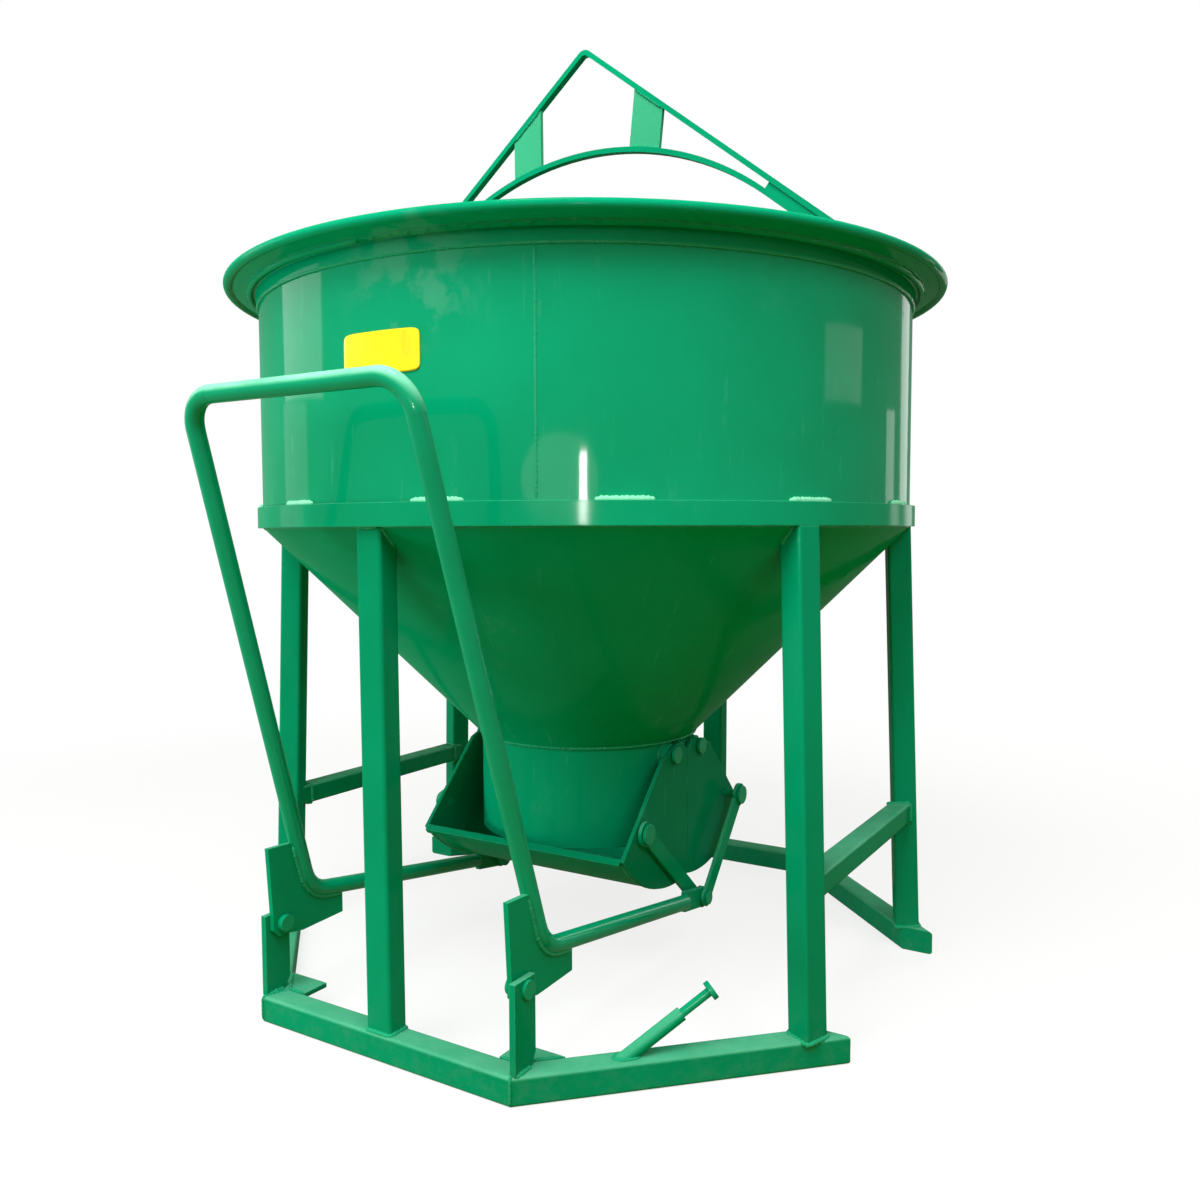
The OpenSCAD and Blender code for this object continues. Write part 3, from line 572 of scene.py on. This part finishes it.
class BUCKET_OT_paint(bpy.types.Operator):
    """Makes the paints and gives every part of the bucket its enamel"""

    bl_idname = "bucket.paint"
    bl_label = "Paint the bucket"

    def execute(self, context):
        look = context.scene.bucket_look
        # pale mixes in the painted sheen: much on the stitch welds, some on the bail's webs, a little on
        # other welds.
        enamel("weld_enamel", look, edge=0.0, scuff=0.1, pale=0.04)
        enamel("stitch_sheen_enamel", look, edge=0.0, scuff=0.0, pale=0.75)
        plate_paint("plate_yellow", look)
        enamel("barrel_enamel", look, wave=0.0010, runs=0.35, rub=True, gloss=0.06)
        enamel("rim_enamel", look, wave=0.0008, rub=True, coat=0.45, gloss=0.08)
        enamel("band_enamel", look, coat=0.8, gloss=0.11)
        # The hopper's strong lighter streaks stand partly for painted reflections of the legs.
        enamel("hopper_enamel", look, wave=0.0012, scuff=0.35, runs=0.9, coat=0.35, gloss=0.14)
        # Painted shade: the gate under the cone is made darker by deep, and the frame's tubes and bars less
        # so.
        enamel("gate_enamel", look, wave=0.0008, scuff=0.25, runs=0.5, coat=0.3, gloss=0.14, painted_shade=0.26)
        # Tubes, bars and the handle's pipe get a painted highlight on faces that look up; the pipe gets the
        # most, along its upper side.
        enamel("tube_enamel", look, grime=0.12, edge=0.003, scuff=0.12, coat=0.4, top_light_share=0.32, painted_shade=0.13)
        enamel("bar_enamel", look, edge=0.0, scuff=0.1, coat=0.4, gloss=0.12, top_light_share=0.2, painted_shade=0.06)
        enamel("pipe_enamel", look, edge=0.0, scuff=0.15, coat=1.2, gloss=0.08, top_light_share=1.0, high=True)
        enamel("web_enamel", look, edge=0.0, scuff=0.0, pale=0.13, coat=0.6, gloss=0.12)
        enamel("pin_enamel", look, edge=0.0015, scuff=0.1, gloss=0.12)
        own = {"barrel": "barrel", "rim": "rim", "stiffener_band": "band", "handle_tube": "pipe"}
        gate = ("front_pan", "back_pan", "front_side", "back_side")
        for name, node in frame["nodes"].items():
            kind = own.get(name, "bar")
            if name.startswith(gate):
                kind = "gate"
            elif name.startswith(("hopper_", "discharge_")):
                kind = "hopper"
            elif name.startswith(("leg_", "base_", "brace_", "corner_plate", "pivot_tab")):
                kind = "tube"
            elif name.startswith("bail_web"):
                kind = "web"
            elif "_pin" in name or name == "stop_rod":
                kind = "pin"
            node.data.materials.clear()
            node.data.materials.append(bpy.data.materials[kind + "_enamel"])
        return {"FINISHED"}


def leg_points(across, radius, z):
    """Points of a corner leg: across is the distance to the leg's right, seen from outside."""
    across, radius, z = np.broadcast_arrays(*np.atleast_1d(across, radius, z))
    out = np.array([math.sin(LEG_AZ), -math.cos(LEG_AZ), 0.0])
    side = np.array([math.cos(LEG_AZ), math.sin(LEG_AZ), 0.0])
    return radius[:, None] * out + across[:, None] * side + z[:, None] * [0.0, 0.0, 1.0]


def cone_z(radius):
    """Height of the cone's outside at a radius."""
    return CONE_LOW + (radius - CONE_R)


def head_reach(inner):
    """Radii along a leg's head, from its inner face, plus a little, to just inside the barrel's wall."""
    return np.linspace(inner + 0.006, BARREL_R - 0.002, LINE_POINTS)


class BUCKET_OT_barrel_welds(bpy.types.Operator):
    """Lays the seams and stitches on barrel, band, cone and spout"""

    bl_idname = "bucket.barrel_welds"
    bl_label = "Barrel welds"

    def execute(self, context):
        sizes = context.scene.bucket_sizes
        beads = Beads(sizes.pitch, 11)
        stitches = Beads(sizes.pitch, 13)
        half = math.degrees(sizes.stitch)
        behind = np.linspace(STITCHES[-1], STITCHES[0] + 360.0, STITCHES_BEHIND + 2)[1:-1]
        for middle in [*STITCHES, *behind]:
            path = round_z(BARREL_R + 0.0022, BAND_TOP + 0.0015, middle - half, middle + half)
            stitches.add(path, BEAD["stitch"])
        stitches.piece("band_stitches", "frame", bpy.data.materials["stitch_sheen_enamel"])
        self.barrel_seam(beads)
        self.rings(beads)
        self.cone_seam(beads)
        beads.piece("barrel_welds", "frame", bpy.data.materials["weld_enamel"])
        return {"FINISHED"}

    def barrel_seam(self, beads):
        """The barrel's upright seam, outside above the band and inside."""
        outside = upright(BARREL_R - 0.0022, BAND_TOP + 0.003, BARREL_TOP - 0.014, BARREL_SEAM)
        inside = upright(BARREL_R - SHEET_T + 0.0012, BARREL_LOW + 0.01, BARREL_TOP - 0.006, BARREL_SEAM)
        beads.add(outside, BEAD["seam"])
        beads.add(inside, BEAD["seam"])

    def rings(self, beads):
        """Closed beads: inside between barrel and cone, below and above the rim's foot, and at the spout."""
        for radius, z, count, joint in (
            (BARREL_R - SHEET_T + 0.0005, BARREL_LOW + 0.001, 241, "barrel_foot"),
            (BARREL_R + 0.001, BARREL_TOP - 0.0105, 241, "rim"),
            (BARREL_R - 0.0015, BARREL_TOP + 0.0005, 241, "rim"),
            (SPOUT_R + 0.002, CONE_LOW - 0.0005, 121, "spout"),
        ):
            beads.add(round_z(radius, z, 0, 360, count)[:-1], BEAD[joint], True)

    def cone_seam(self, beads):
        """The cone's seam, on the far side."""
        rise = np.linspace(0.003, BARREL_R - CONE_R - 0.004, 40)
        turn = math.radians(CONE_SEAM)
        outer = CONE_R + rise
        path = np.stack([outer * math.sin(turn), -outer * math.cos(turn), CONE_LOW + rise], 1)
        beads.add(path, BEAD["seam"])


class BUCKET_OT_frame_welds(bpy.types.Operator):
    """Lays the beads at legs, base, braces, tabs, plates and rod socket"""

    bl_idname = "bucket.frame_welds"
    bl_label = "Frame welds"

    def execute(self, context):
        sizes = context.scene.bucket_sizes
        beads = Beads(sizes.pitch, 23)
        for back in (False, True):
            self.mid_leg(beads, back)
            for side in (1, -1):
                self.corner_leg(beads, side, back)
                self.base_corner(beads, side, back)
                self.brace_end(beads, side, back)
        for side in (1, -1):
            self.tab(beads, side)
        self.socket(beads)
        beads.piece("frame_welds", "frame", bpy.data.materials["weld_enamel"])
        return {"FINISHED"}

    def mid_leg(self, beads, back):
        """A loop round the foot, and a bead on each side where the head meets the cone and the band."""
        foot = round_box(MID_W, MID_D, TUBE_ROUND)
        y = foot[:, 1] + MID_SET + MID_D / 2 - BASE_A
        z = beam_top(y + BASE_A - TUBE / 2)
        beads.add(mirrored(np.stack([foot[:, 0], y, z], 1), False, back), BEAD["leg_foot"], True)
        half = MID_W / 2
        reach = head_reach(BASE_A - MID_D)
        head = np.stack([np.full(LINE_POINTS, half), -reach, cone_z(np.hypot(reach, half))], 1)
        front = -BASE_A - 0.0005
        top = [[0.005 - half, front, BARREL_LOW], [half - 0.005, front, BARREL_LOW]]
        beads.add(mirrored(head, False, back), BEAD["leg_head"])
        beads.add(mirrored(head, True, back), BEAD["leg_head"])
        beads.add(mirrored(top, False, back), BEAD["band"])

    def corner_leg(self, beads, side, back):
        """A loop round the foot on the rounded beam, and the lines where the leg's sides meet the cone."""
        foot = round_box(TUBE, TUBE, TUBE_ROUND)
        loop = leg_points(foot[:, 0], LEG_R_FOOT + foot[:, 1], 0.0)
        loop[:, 2] = beam_top((loop[:, 0] - loop[:, 1] - DIAGONAL) / math.sqrt(2))
        beads.add(mirrored(loop, side < 0, back), BEAD["leg_foot"], True)
        reach = head_reach(LEG_R_TOP - TUBE / 2)
        for across in (-TUBE / 2, TUBE / 2):
            head = leg_points(across, reach, cone_z(np.hypot(reach, across)))
            beads.add(mirrored(head, side < 0, back), BEAD["leg_head"])

    def base_corner(self, beads, side, back):
        """The mitre between two base beams: up the outer side, round the edge and over the top."""
        turn = np.radians(np.linspace(0, 90, 8))
        into = np.concatenate([[0.0], TUBE_ROUND * (1 - np.cos(turn)), [TUBE - TUBE_ROUND]])
        z = np.concatenate([[TUBE_ROUND], TUBE - TUBE_ROUND * (1 - np.sin(turn)), [TUBE]])
        path = np.stack([(BASE_A - into) * EIGHTH, into - BASE_A, z], 1)
        beads.add(mirrored(path, side < 0, back), BEAD["mitre"])

    def brace_end(self, beads, side, back):
        """A loop round the brace where it meets the leg's flat side."""
        low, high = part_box("brace_right")
        loop = round_box(high.x - low.x, high.z - low.z, BRACE_ROUND)
        x = loop[:, 0] + (low.x + high.x) / 2
        z = loop[:, 1] + (low.z + high.z) / 2
        centre = leg_points(0.0, LEG_R_FOOT, 0.0)[0]
        y = centre[1] + (TUBE / 2 - (x - centre[0]) * math.cos(LEG_AZ)) / math.sin(LEG_AZ)
        beads.add(mirrored(np.stack([x, y, z], 1), side < 0, back), BEAD["brace"], True)

    def tab(self, beads, side):
        """Fillets along both sides of a pivot tab's foot, and one along the corner plate."""
        low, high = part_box("pivot_tab_right")
        for x in (low.x, high.x):
            path = [[x, low.y + 0.002, TUBE], [x, high.y - 0.014, TUBE]]
            beads.add(mirrored(path, side < 0), BEAD["tab"])
        plate_low, plate_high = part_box("corner_plate_right")
        path = [[plate_low.x + 0.003, TUBE - BASE_A, TUBE], [INNER_X, TUBE - BASE_A, TUBE],
                [plate_high.x - 0.004, plate_high.y - 0.004, TUBE]]
        beads.add(mirrored(evenly(path, 0.002)[0], side < 0), BEAD["corner_plate"])

    def socket(self, beads):
        """The slanted foot of the rod's socket is an ellipse on the beam's top."""
        count = 60
        turn = np.linspace(0, 2 * math.pi, count, endpoint=False)
        along = SOCKET_R / math.sin(SOCKET_SLOPE) * np.cos(turn) - SOCKET_SET
        across = SOCKET_R * np.sin(turn) + TUBE / 2 - BASE_A
        c = math.sqrt(0.5)
        path = np.stack([c * (along - across), c * (along + across), np.full(count, TUBE)], 1)
        beads.add(path, BEAD["socket"], True)


class BUCKET_OT_bail_welds(bpy.types.Operator):
    """Lays the beads on the bail's plates and pads"""

    bl_idname = "bucket.bail_welds"
    bl_label = "Bail welds"

    def execute(self, context):
        sizes = context.scene.bucket_sizes
        beads = Beads(sizes.pitch, 37)
        arch_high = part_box("bail_arch")[1].z
        slope = math.atan2(BAIL_PEAK - BAIL_FOOT[1], BAIL_FOOT[0])
        rho = (BAIL_PEAK - BAIL_GAP / math.cos(slope) - arch_high) * math.cos(slope) / (1 - math.cos(slope))

        def arch(x):
            return arch_high - rho + np.sqrt(rho * rho - x * x)

        def bar(x):
            return BAIL_FOOT[1] + (BAIL_FOOT[0] - x) * math.tan(slope)

        for side in (1, -1):
            for line in (arch, bar):
                ends = plate_ends(WEB_LEAN[side], line)
                x = np.linspace(ends[0] + 0.003, ends[1] - 0.003, LINE_POINTS)
                for y in (WEB_FACE, -WEB_FACE):
                    path = np.stack([x, np.full(LINE_POINTS, y), line(x)], 1)
                    beads.add(mirrored(path, side < 0), BEAD["web"])
            self.pad(beads, side, slope)
        beads.piece("bail_welds", "frame", bpy.data.materials["weld_enamel"])
        return {"FINISHED"}

    def pad(self, beads, side, slope):
        """Upright fillets beside the pad on the barrel, and beads round the ends of bar and arch."""
        inside = math.sqrt((BARREL_R - SHEET_T) ** 2 - PAD_HALF ** 2)
        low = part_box("bail_foot_right")[0].z
        tall = BAIL_BAR / math.cos(slope)
        starts = (BAIL_FOOT[1], BAIL_FOOT[1] - BAIL_GAP / math.cos(slope) - tall)
        for y in (PAD_HALF, -PAD_HALF):
            path = [[inside, y, low + 0.003], [inside, y, BARREL_TOP - 0.004]]
            beads.add(mirrored(path, side < 0), BEAD["pad"])
        for start in starts:
            ring = round_box(2 * BAIL_HALF, tall, BAIL_ROUND, 2)
            path = np.stack([np.full(len(ring), BAIL_FOOT[0]), ring[:, 0], ring[:, 1] + start + tall / 2], 1)
            beads.add(mirrored(path, side < 0), BEAD["bail_end"], True)


def plate_ends(lean, line):
    """Where a mid plate's two edges meet a line of the bail, found by trying again a few times.

    The edges lean over the bail's rise, and are at their named places two thirds of the way up.
    """
    upright_x = np.array([WEB_IN, WEB_IN + WEB_W])
    x = upright_x
    for _ in range(WEB_TRIES):
        x = upright_x + lean * ((line(x) - BAIL_FOOT[1]) / BAIL_RISE - WEB_LEVEL)
    return x


def bend_line(start, corner, end, radius, count=24):
    """A path in the handle's side plane: straight to the bend, round it and straight on; and its centre."""
    start, corner, end = (np.asarray(p, float) for p in (start, corner, end))
    u = (corner - start) / np.linalg.norm(corner - start)
    v = (end - corner) / np.linalg.norm(end - corner)
    turn = math.acos(float(u @ v))
    n = v - u * (u @ v)
    n /= np.linalg.norm(n)
    first = corner - u * radius * math.tan(turn / 2)
    centre = first + n * radius
    angle = np.linspace(0, turn, count)[:, None]
    bend = centre - n * radius * np.cos(angle) + u * radius * np.sin(angle)
    return np.vstack([start[None], bend, end[None]]), centre


class BUCKET_OT_handle_welds(bpy.types.Operator):
    """Lays the beads between handle pipe, plates and lugs"""

    bl_idname = "bucket.handle_welds"
    bl_label = "Handle welds"

    def execute(self, context):
        sizes = context.scene.bucket_sizes
        beads = Beads(sizes.pitch, 53)
        elbow = np.array(ELBOW)
        up = np.array(GRIP) - elbow
        up /= np.linalg.norm(up)
        arm = np.array(ARM_END) - elbow
        arm /= np.linalg.norm(arm)
        offset = math.sqrt(PIPE_R ** 2 - PLATE_HALF ** 2)
        axis, centre = bend_line(elbow + up * PLATE_UP, elbow, elbow + arm * PLATE_ALONG, ELBOW_BEND)
        away = axis - centre
        away[0] = away[1]
        away[-1] = away[-2]
        away /= np.linalg.norm(away, axis=1)[:, None]
        line = axis + away * (offset + 0.0005)
        lean = (GRIP_X - ARM_X) / np.linalg.norm(np.array(GRIP) - elbow)
        rise = np.clip((axis - elbow) @ up, 0.0, None)
        for side in (1, -1):
            for face in (PLATE_HALF, -PLATE_HALF):
                x = side * (ARM_X + face * 1.1 + lean * rise * 0.5)
                beads.add(np.stack([x, line[:, 0], line[:, 1]], 1), BEAD["handle_plate"])
            self.lug(beads, side, arm)
        beads.piece("handle_welds", "handle", bpy.data.materials["weld_enamel"])
        return {"FINISHED"}

    def lug(self, beads, side, arm):
        """Fillets where the flat lug meets the cut end of the pipe."""
        low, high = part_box("arm_lug_right")
        end = np.array(ARM_END) - arm * LUG_LEN
        across = np.array([-arm[1], arm[0]])
        for x, reach in zip((low.x, high.x), LUG_REACH):
            a = end + across * reach + arm * 0.001
            b = end - across * reach + arm * 0.001
            path = [[x, a[0], a[1]], [x, b[0], b[1]]]
            beads.add(mirrored(path, side < 0), BEAD["lug"])


class BUCKET_OT_gate_welds(bpy.types.Operator):
    """Lays the beads where the gate's pans meet their side plates, and round the hinge bosses"""

    bl_idname = "bucket.gate_welds"
    bl_label = "Gate welds"

    def execute(self, context):
        sizes = context.scene.bucket_sizes
        for name, back, seed in (("front_gate", False, 67), ("back_gate", True, 71)):
            beads = Beads(sizes.pitch, seed)
            self.pan(beads, back)
            beads.piece(name + "_welds", name, bpy.data.materials["weld_enamel"])
        bosses = Beads(sizes.pitch, 79)
        for back in (False, True):
            self.boss(bosses, back)
        bosses.piece("boss_welds", "frame", bpy.data.materials["weld_enamel"])
        return {"FINISHED"}

    def pan(self, beads, back):
        """Arcs along both ends of a pan, from its lip to where the pans meet."""
        count = 60
        meet = math.radians(270) + math.asin(PAN_PAST_PIVOT / PAN_R)
        turn = np.linspace(PAN_LIP, meet, count)
        y = GATE_PIVOT[0] + (PAN_R - 0.0008) * np.cos(turn)
        z = GATE_PIVOT[1] + (PAN_R - 0.0008) * np.sin(turn)
        path = np.stack([np.full(count, SIDE_X), y, z], 1)
        for side in (1, -1):
            beads.add(mirrored(path, side < 0, back), BEAD["pan"])

    def boss(self, beads, back):
        """Loops round a pair of hinge bosses on the spout's round wall."""
        turn = np.linspace(0, 2 * math.pi, 48, endpoint=False)
        y = GATE_PIVOT[0] + BOSS_R * np.cos(turn)
        z = GATE_PIVOT[1] + BOSS_R * np.sin(turn)
        x = np.sqrt(SPOUT_R ** 2 - y * y)
        path = np.stack([x, y, z], 1)
        for side in (1, -1):
            beads.add(mirrored(path, side < 0, back), BEAD["boss"], True)


class BUCKET_OT_plate(bpy.types.Operator):
    """Sets a bare yellow plate on the barrel"""

    bl_idname = "bucket.plate"
    bl_label = "Bare plate"

    def execute(self, context):
        sizes = context.scene.bucket_sizes
        points = self.sheet(sizes.plate_width, sizes.plate_height)
        made = new_object("bare_plate", points, grid_faces(*PLATE_GRID, False).tolist())
        outward_sheet(made)
        wall = made.modifiers.new("thickness", "SOLIDIFY")
        wall.thickness = PLATE_T
        wall.offset = 1.0
        made.data.materials.append(bpy.data.materials["plate_yellow"])
        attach(made, "frame")
        return {"FINISHED"}

    def sheet(self, width, height):
        """A grid on the barrel whose outline is |x|^p + |y|^p = 1, so its corners are round."""
        rows, columns = PLATE_GRID
        across, rise = np.meshgrid(np.linspace(-1, 1, columns), np.linspace(-1, 1, rows))
        squeeze = (np.abs(across) ** PLATE_POWER + np.abs(rise) ** PLATE_POWER) ** (1 / PLATE_POWER)
        reach = np.maximum(np.abs(across), np.abs(rise))
        scale = np.where(squeeze > 1e-9, reach / np.maximum(squeeze, 1e-9), 1.0)
        u = across * scale * width / 2
        v = rise * scale * height / 2
        angle = PLATE_TURN + u / BARREL_R
        radius = BARREL_R + PLATE_OFF
        return np.stack([radius * np.sin(angle), -radius * np.cos(angle), PLATE_Z + v], -1).reshape(-1, 3)


def outward_sheet(piece):
    """Makes an open sheet on the barrel face away from the bucket's axis."""
    count = len(piece.data.polygons)
    normals = np.zeros(count * 3)
    centres = np.zeros(count * 3)
    piece.data.polygons.foreach_get("normal", normals)
    piece.data.polygons.foreach_get("center", centres)
    facing = (normals.reshape(-1, 3) * centres.reshape(-1, 3) * [1, 1, 0]).sum()
    if facing < 0:
        piece.data.flip_normals()


# Stage: colours as red, green, blue and cover, places in metres

WHITE = (1.0, 1.0, 1.0, 1.0)
FLOOR_INNER = 0.02
FLOOR_OUTER = 9.0
FLOOR_RINGS = 40
FLOOR_TURNS = 96
FLOOR_Z = -0.0006
FLOOR_BOUNCE = (0.30, 0.31, 0.05, 1.0)
FLOOR_SEEN = (0.96, 0.96, 0.96, 1.0)
FLOOR_GLOW = 0.80
FLOOR_FADE = (1.4, 3.6)
WORLD_LIGHT = (1.0, 1.0, 0.42, 1.0)
WORLD_POWER = 0.20
SENSOR = 36.0
CAMERA_PLACE = (1.296009, -2.053611, 0.943268)
CAMERA_RIGHT = (0.85189095, 0.5237107, -0.00298395)
CAMERA_UP = (-0.03131364, 0.05662192, 0.99790451)
CAMERA_BACK = (0.52278223, -0.85001239, 0.06463499)

# Lamps: name, place, aim, watts, width, height, and whether it lights the paint and shows in the coat

SOFT = (True, False)
MIRROR = (False, True)
LAMPS = (
    ("key", (-0.4, -4.5, 3.1), (0.0, 0.0, 0.9), 114.0, 3.0, 3.0, SOFT),
    ("overhead", (0.3, -2.4, 4.6), (0.0, -0.2, 0.8), 205.0, 2.6, 2.6, SOFT),
    ("left", (-2.8, -2.0, 0.3), (0.0, 0.0, 0.75), 48.0, 1.4, 0.5, SOFT),
    ("fill", (3.5, -1.3, 3.8), (0.0, 0.0, 0.9), 78.0, 1.8, 1.8, SOFT),
    ("behind", (1.0, 4.4, 2.0), (0.0, 0.0, 0.9), 60.0, 2.0, 2.0, SOFT),
    ("pane_left", (-3.05, -1.35, 2.02), (-0.5, -0.35, 1.3), 29.0, 1.4, 0.95, MIRROR),
    ("wall_left", (-3.17, -1.08, 1.06), (-0.5, -0.35, 1.06), 7.0, 0.9, 0.95, MIRROR),
    ("pane_right", (3.10, 1.55, 1.70), (0.5, 0.3, 1.3), 4.4, 1.1, 0.34, MIRROR),
    ("strip_right", (1.0, 3.05, 1.6), (0.5, 0.4, 1.2), 30.0, 0.6, 2.4, MIRROR),
    ("strip_low", (1.9, 2.7, 1.0), (0.5, 0.4, 1.0), 6.5, 0.35, 1.0, MIRROR),
    ("sky_top", (0.1, -1.2, 4.5), (-0.1, -0.9, 1.2), 50.0, 0.8, 0.8, MIRROR),
    ("glint", (1.262, -2.085, 1.08), (0.1, -0.1, 1.0), 13.0, 0.08, 0.24, MIRROR),
    ("glow", (1.05, -2.25, 1.12), (0.1, -0.1, 1.0), 3.6, 0.9, 0.3, MIRROR),
)


class BUCKET_OT_stage(bpy.types.Operator):
    """Sets floor, light, world and camera"""

    bl_idname = "bucket.stage"
    bl_label = "Stage"

    def execute(self, context):
        self.floor()
        self.world(context.scene)
        self.lamps(context.scene)
        self.camera(context.scene, context.scene.bucket_sizes.lens)
        context.scene.view_settings.view_transform = "Standard"
        return {"FINISHED"}

    def floor(self):
        """A round pale floor that fades into the white background away from the bucket."""
        rings = np.linspace(FLOOR_INNER, FLOOR_OUTER, FLOOR_RINGS)
        turn = np.linspace(0, 2 * math.pi, FLOOR_TURNS, endpoint=False)
        r, t = np.meshgrid(rings, turn, indexing="ij")
        points = np.stack([r * np.sin(t), r * np.cos(t), np.full(r.shape, FLOOR_Z)], -1).reshape(-1, 3)
        faces = grid_faces(FLOOR_RINGS, FLOOR_TURNS, True).tolist()
        faces.append(list(range(FLOOR_TURNS))[::-1])
        made = new_object("floor", points, faces)
        n = Nodes(fresh_material("floor_pale"))
        away = n.add("ShaderNodeVectorMath", {0: n.place()}, operation="LENGTH").outputs["Value"]
        seen = seen_rays(n)
        colour = n.mix(seen, FLOOR_BOUNCE, FLOOR_SEEN)
        matt = n.add("ShaderNodeBsdfDiffuse", {"Color": colour}).outputs[0]
        white = n.add("ShaderNodeEmission", {"Color": WHITE, "Strength": 1.0}).outputs[0]
        matt = n.add("ShaderNodeMixShader", {0: n.times(seen, FLOOR_GLOW), 1: matt, 2: white}).outputs[0]
        clear = n.add("ShaderNodeBsdfTransparent").outputs[0]
        fade = n.between(away, *FLOOR_FADE)
        mixed = n.add("ShaderNodeMixShader", {0: fade, 1: matt, 2: clear}).outputs[0]
        n.add("ShaderNodeOutputMaterial", {0: mixed})
        made.data.materials.append(n.owner)

    def world(self, scene):
        """White to the eye and in reflections, and a weak yellow light on the bucket."""
        world = bpy.data.worlds.new("studio")
        scene.world = world
        n = Nodes(world)
        light = n.add("ShaderNodeBackground", {"Color": WORLD_LIGHT, "Strength": WORLD_POWER}).outputs[0]
        white = n.add("ShaderNodeBackground", {"Color": WHITE, "Strength": 1.0}).outputs[0]
        mixed = n.add("ShaderNodeMixShader", {0: seen_rays(n), 1: light, 2: white}).outputs[0]
        n.add("ShaderNodeOutputWorld", {0: mixed})

    def lamps(self, scene):
        """Five soft boxes light the bucket; panes and strips about it show only in its coat."""
        for name, place, aim, power, width, height, (lights, shows) in LAMPS:
            data = bpy.data.lights.new(name, "AREA")
            data.shape = "ELLIPSE" if name == "glow" else "RECTANGLE"
            data.size = width
            data.size_y = height
            data.energy = power
            lamp = bpy.data.objects.new(name, data)
            lamp.location = place
            lamp.visible_camera = False
            lamp.visible_diffuse = lights
            lamp.visible_glossy = shows
            lamp.rotation_euler = (Vector(aim) - Vector(place)).to_track_quat("-Z", "Y").to_euler()
            scene.collection.objects.link(lamp)

    def camera(self, scene, lens):
        """The photograph's place, direction and focal length; the image is 1200 by 1200."""
        data = bpy.data.cameras.new("camera")
        data.sensor_width = SENSOR
        data.lens = lens
        camera = bpy.data.objects.new("camera", data)
        turn = Matrix((CAMERA_RIGHT, CAMERA_UP, CAMERA_BACK)).transposed().to_4x4()
        camera.matrix_world = Matrix.Translation(CAMERA_PLACE) @ turn
        scene.collection.objects.link(camera)
        scene.camera = camera


def seen_rays(n):
    """1 for camera, glossy and transmission rays, and 0 for light that bounces."""
    rays = n.add("ShaderNodeLightPath").outputs
    first = n.add("ShaderNodeMath", {0: rays["Is Camera Ray"], 1: rays["Is Glossy Ray"]}, operation="MAXIMUM")
    return n.add("ShaderNodeMath", {0: first.outputs[0], 1: rays["Is Transmission Ray"]},
                 operation="MAXIMUM").outputs[0]


class BUCKET_PT_panel(bpy.types.Panel):
    bl_label = "Concrete bucket"
    bl_idname = "BUCKET_PT_panel"
    bl_space_type = "VIEW_3D"
    bl_region_type = "UI"
    bl_category = "Bucket"

    def draw(self, context):
        for group in (context.scene.bucket_look, context.scene.bucket_sizes):
            for key in group.bl_rna.properties.keys():
                if key not in {"rna_type", "name"}:
                    self.layout.prop(group, key)
        for operator in STEPS:
            self.layout.operator(operator.bl_idname)


STEPS = (BUCKET_OT_paint, BUCKET_OT_barrel_welds, BUCKET_OT_frame_welds, BUCKET_OT_bail_welds,
         BUCKET_OT_handle_welds, BUCKET_OT_gate_welds, BUCKET_OT_plate, BUCKET_OT_stage)
CLASSES = (BucketLook, BucketSizes, *STEPS, BUCKET_PT_panel)


def register():
    for cls in CLASSES:
        bpy.utils.register_class(cls)
    bpy.types.Scene.bucket_look = bpy.props.PointerProperty(type=BucketLook)
    bpy.types.Scene.bucket_sizes = bpy.props.PointerProperty(type=BucketSizes)


def unregister():
    del bpy.types.Scene.bucket_sizes
    del bpy.types.Scene.bucket_look
    for cls in reversed(CLASSES):
        bpy.utils.unregister_class(cls)


def main():
    register()
    bpy.ops.bucket.paint()
    bpy.ops.bucket.barrel_welds()
    bpy.ops.bucket.frame_welds()
    bpy.ops.bucket.bail_welds()
    bpy.ops.bucket.handle_welds()
    bpy.ops.bucket.gate_welds()
    bpy.ops.bucket.plate()
    bpy.ops.bucket.stage()


if __name__ == "__main__":
    main()
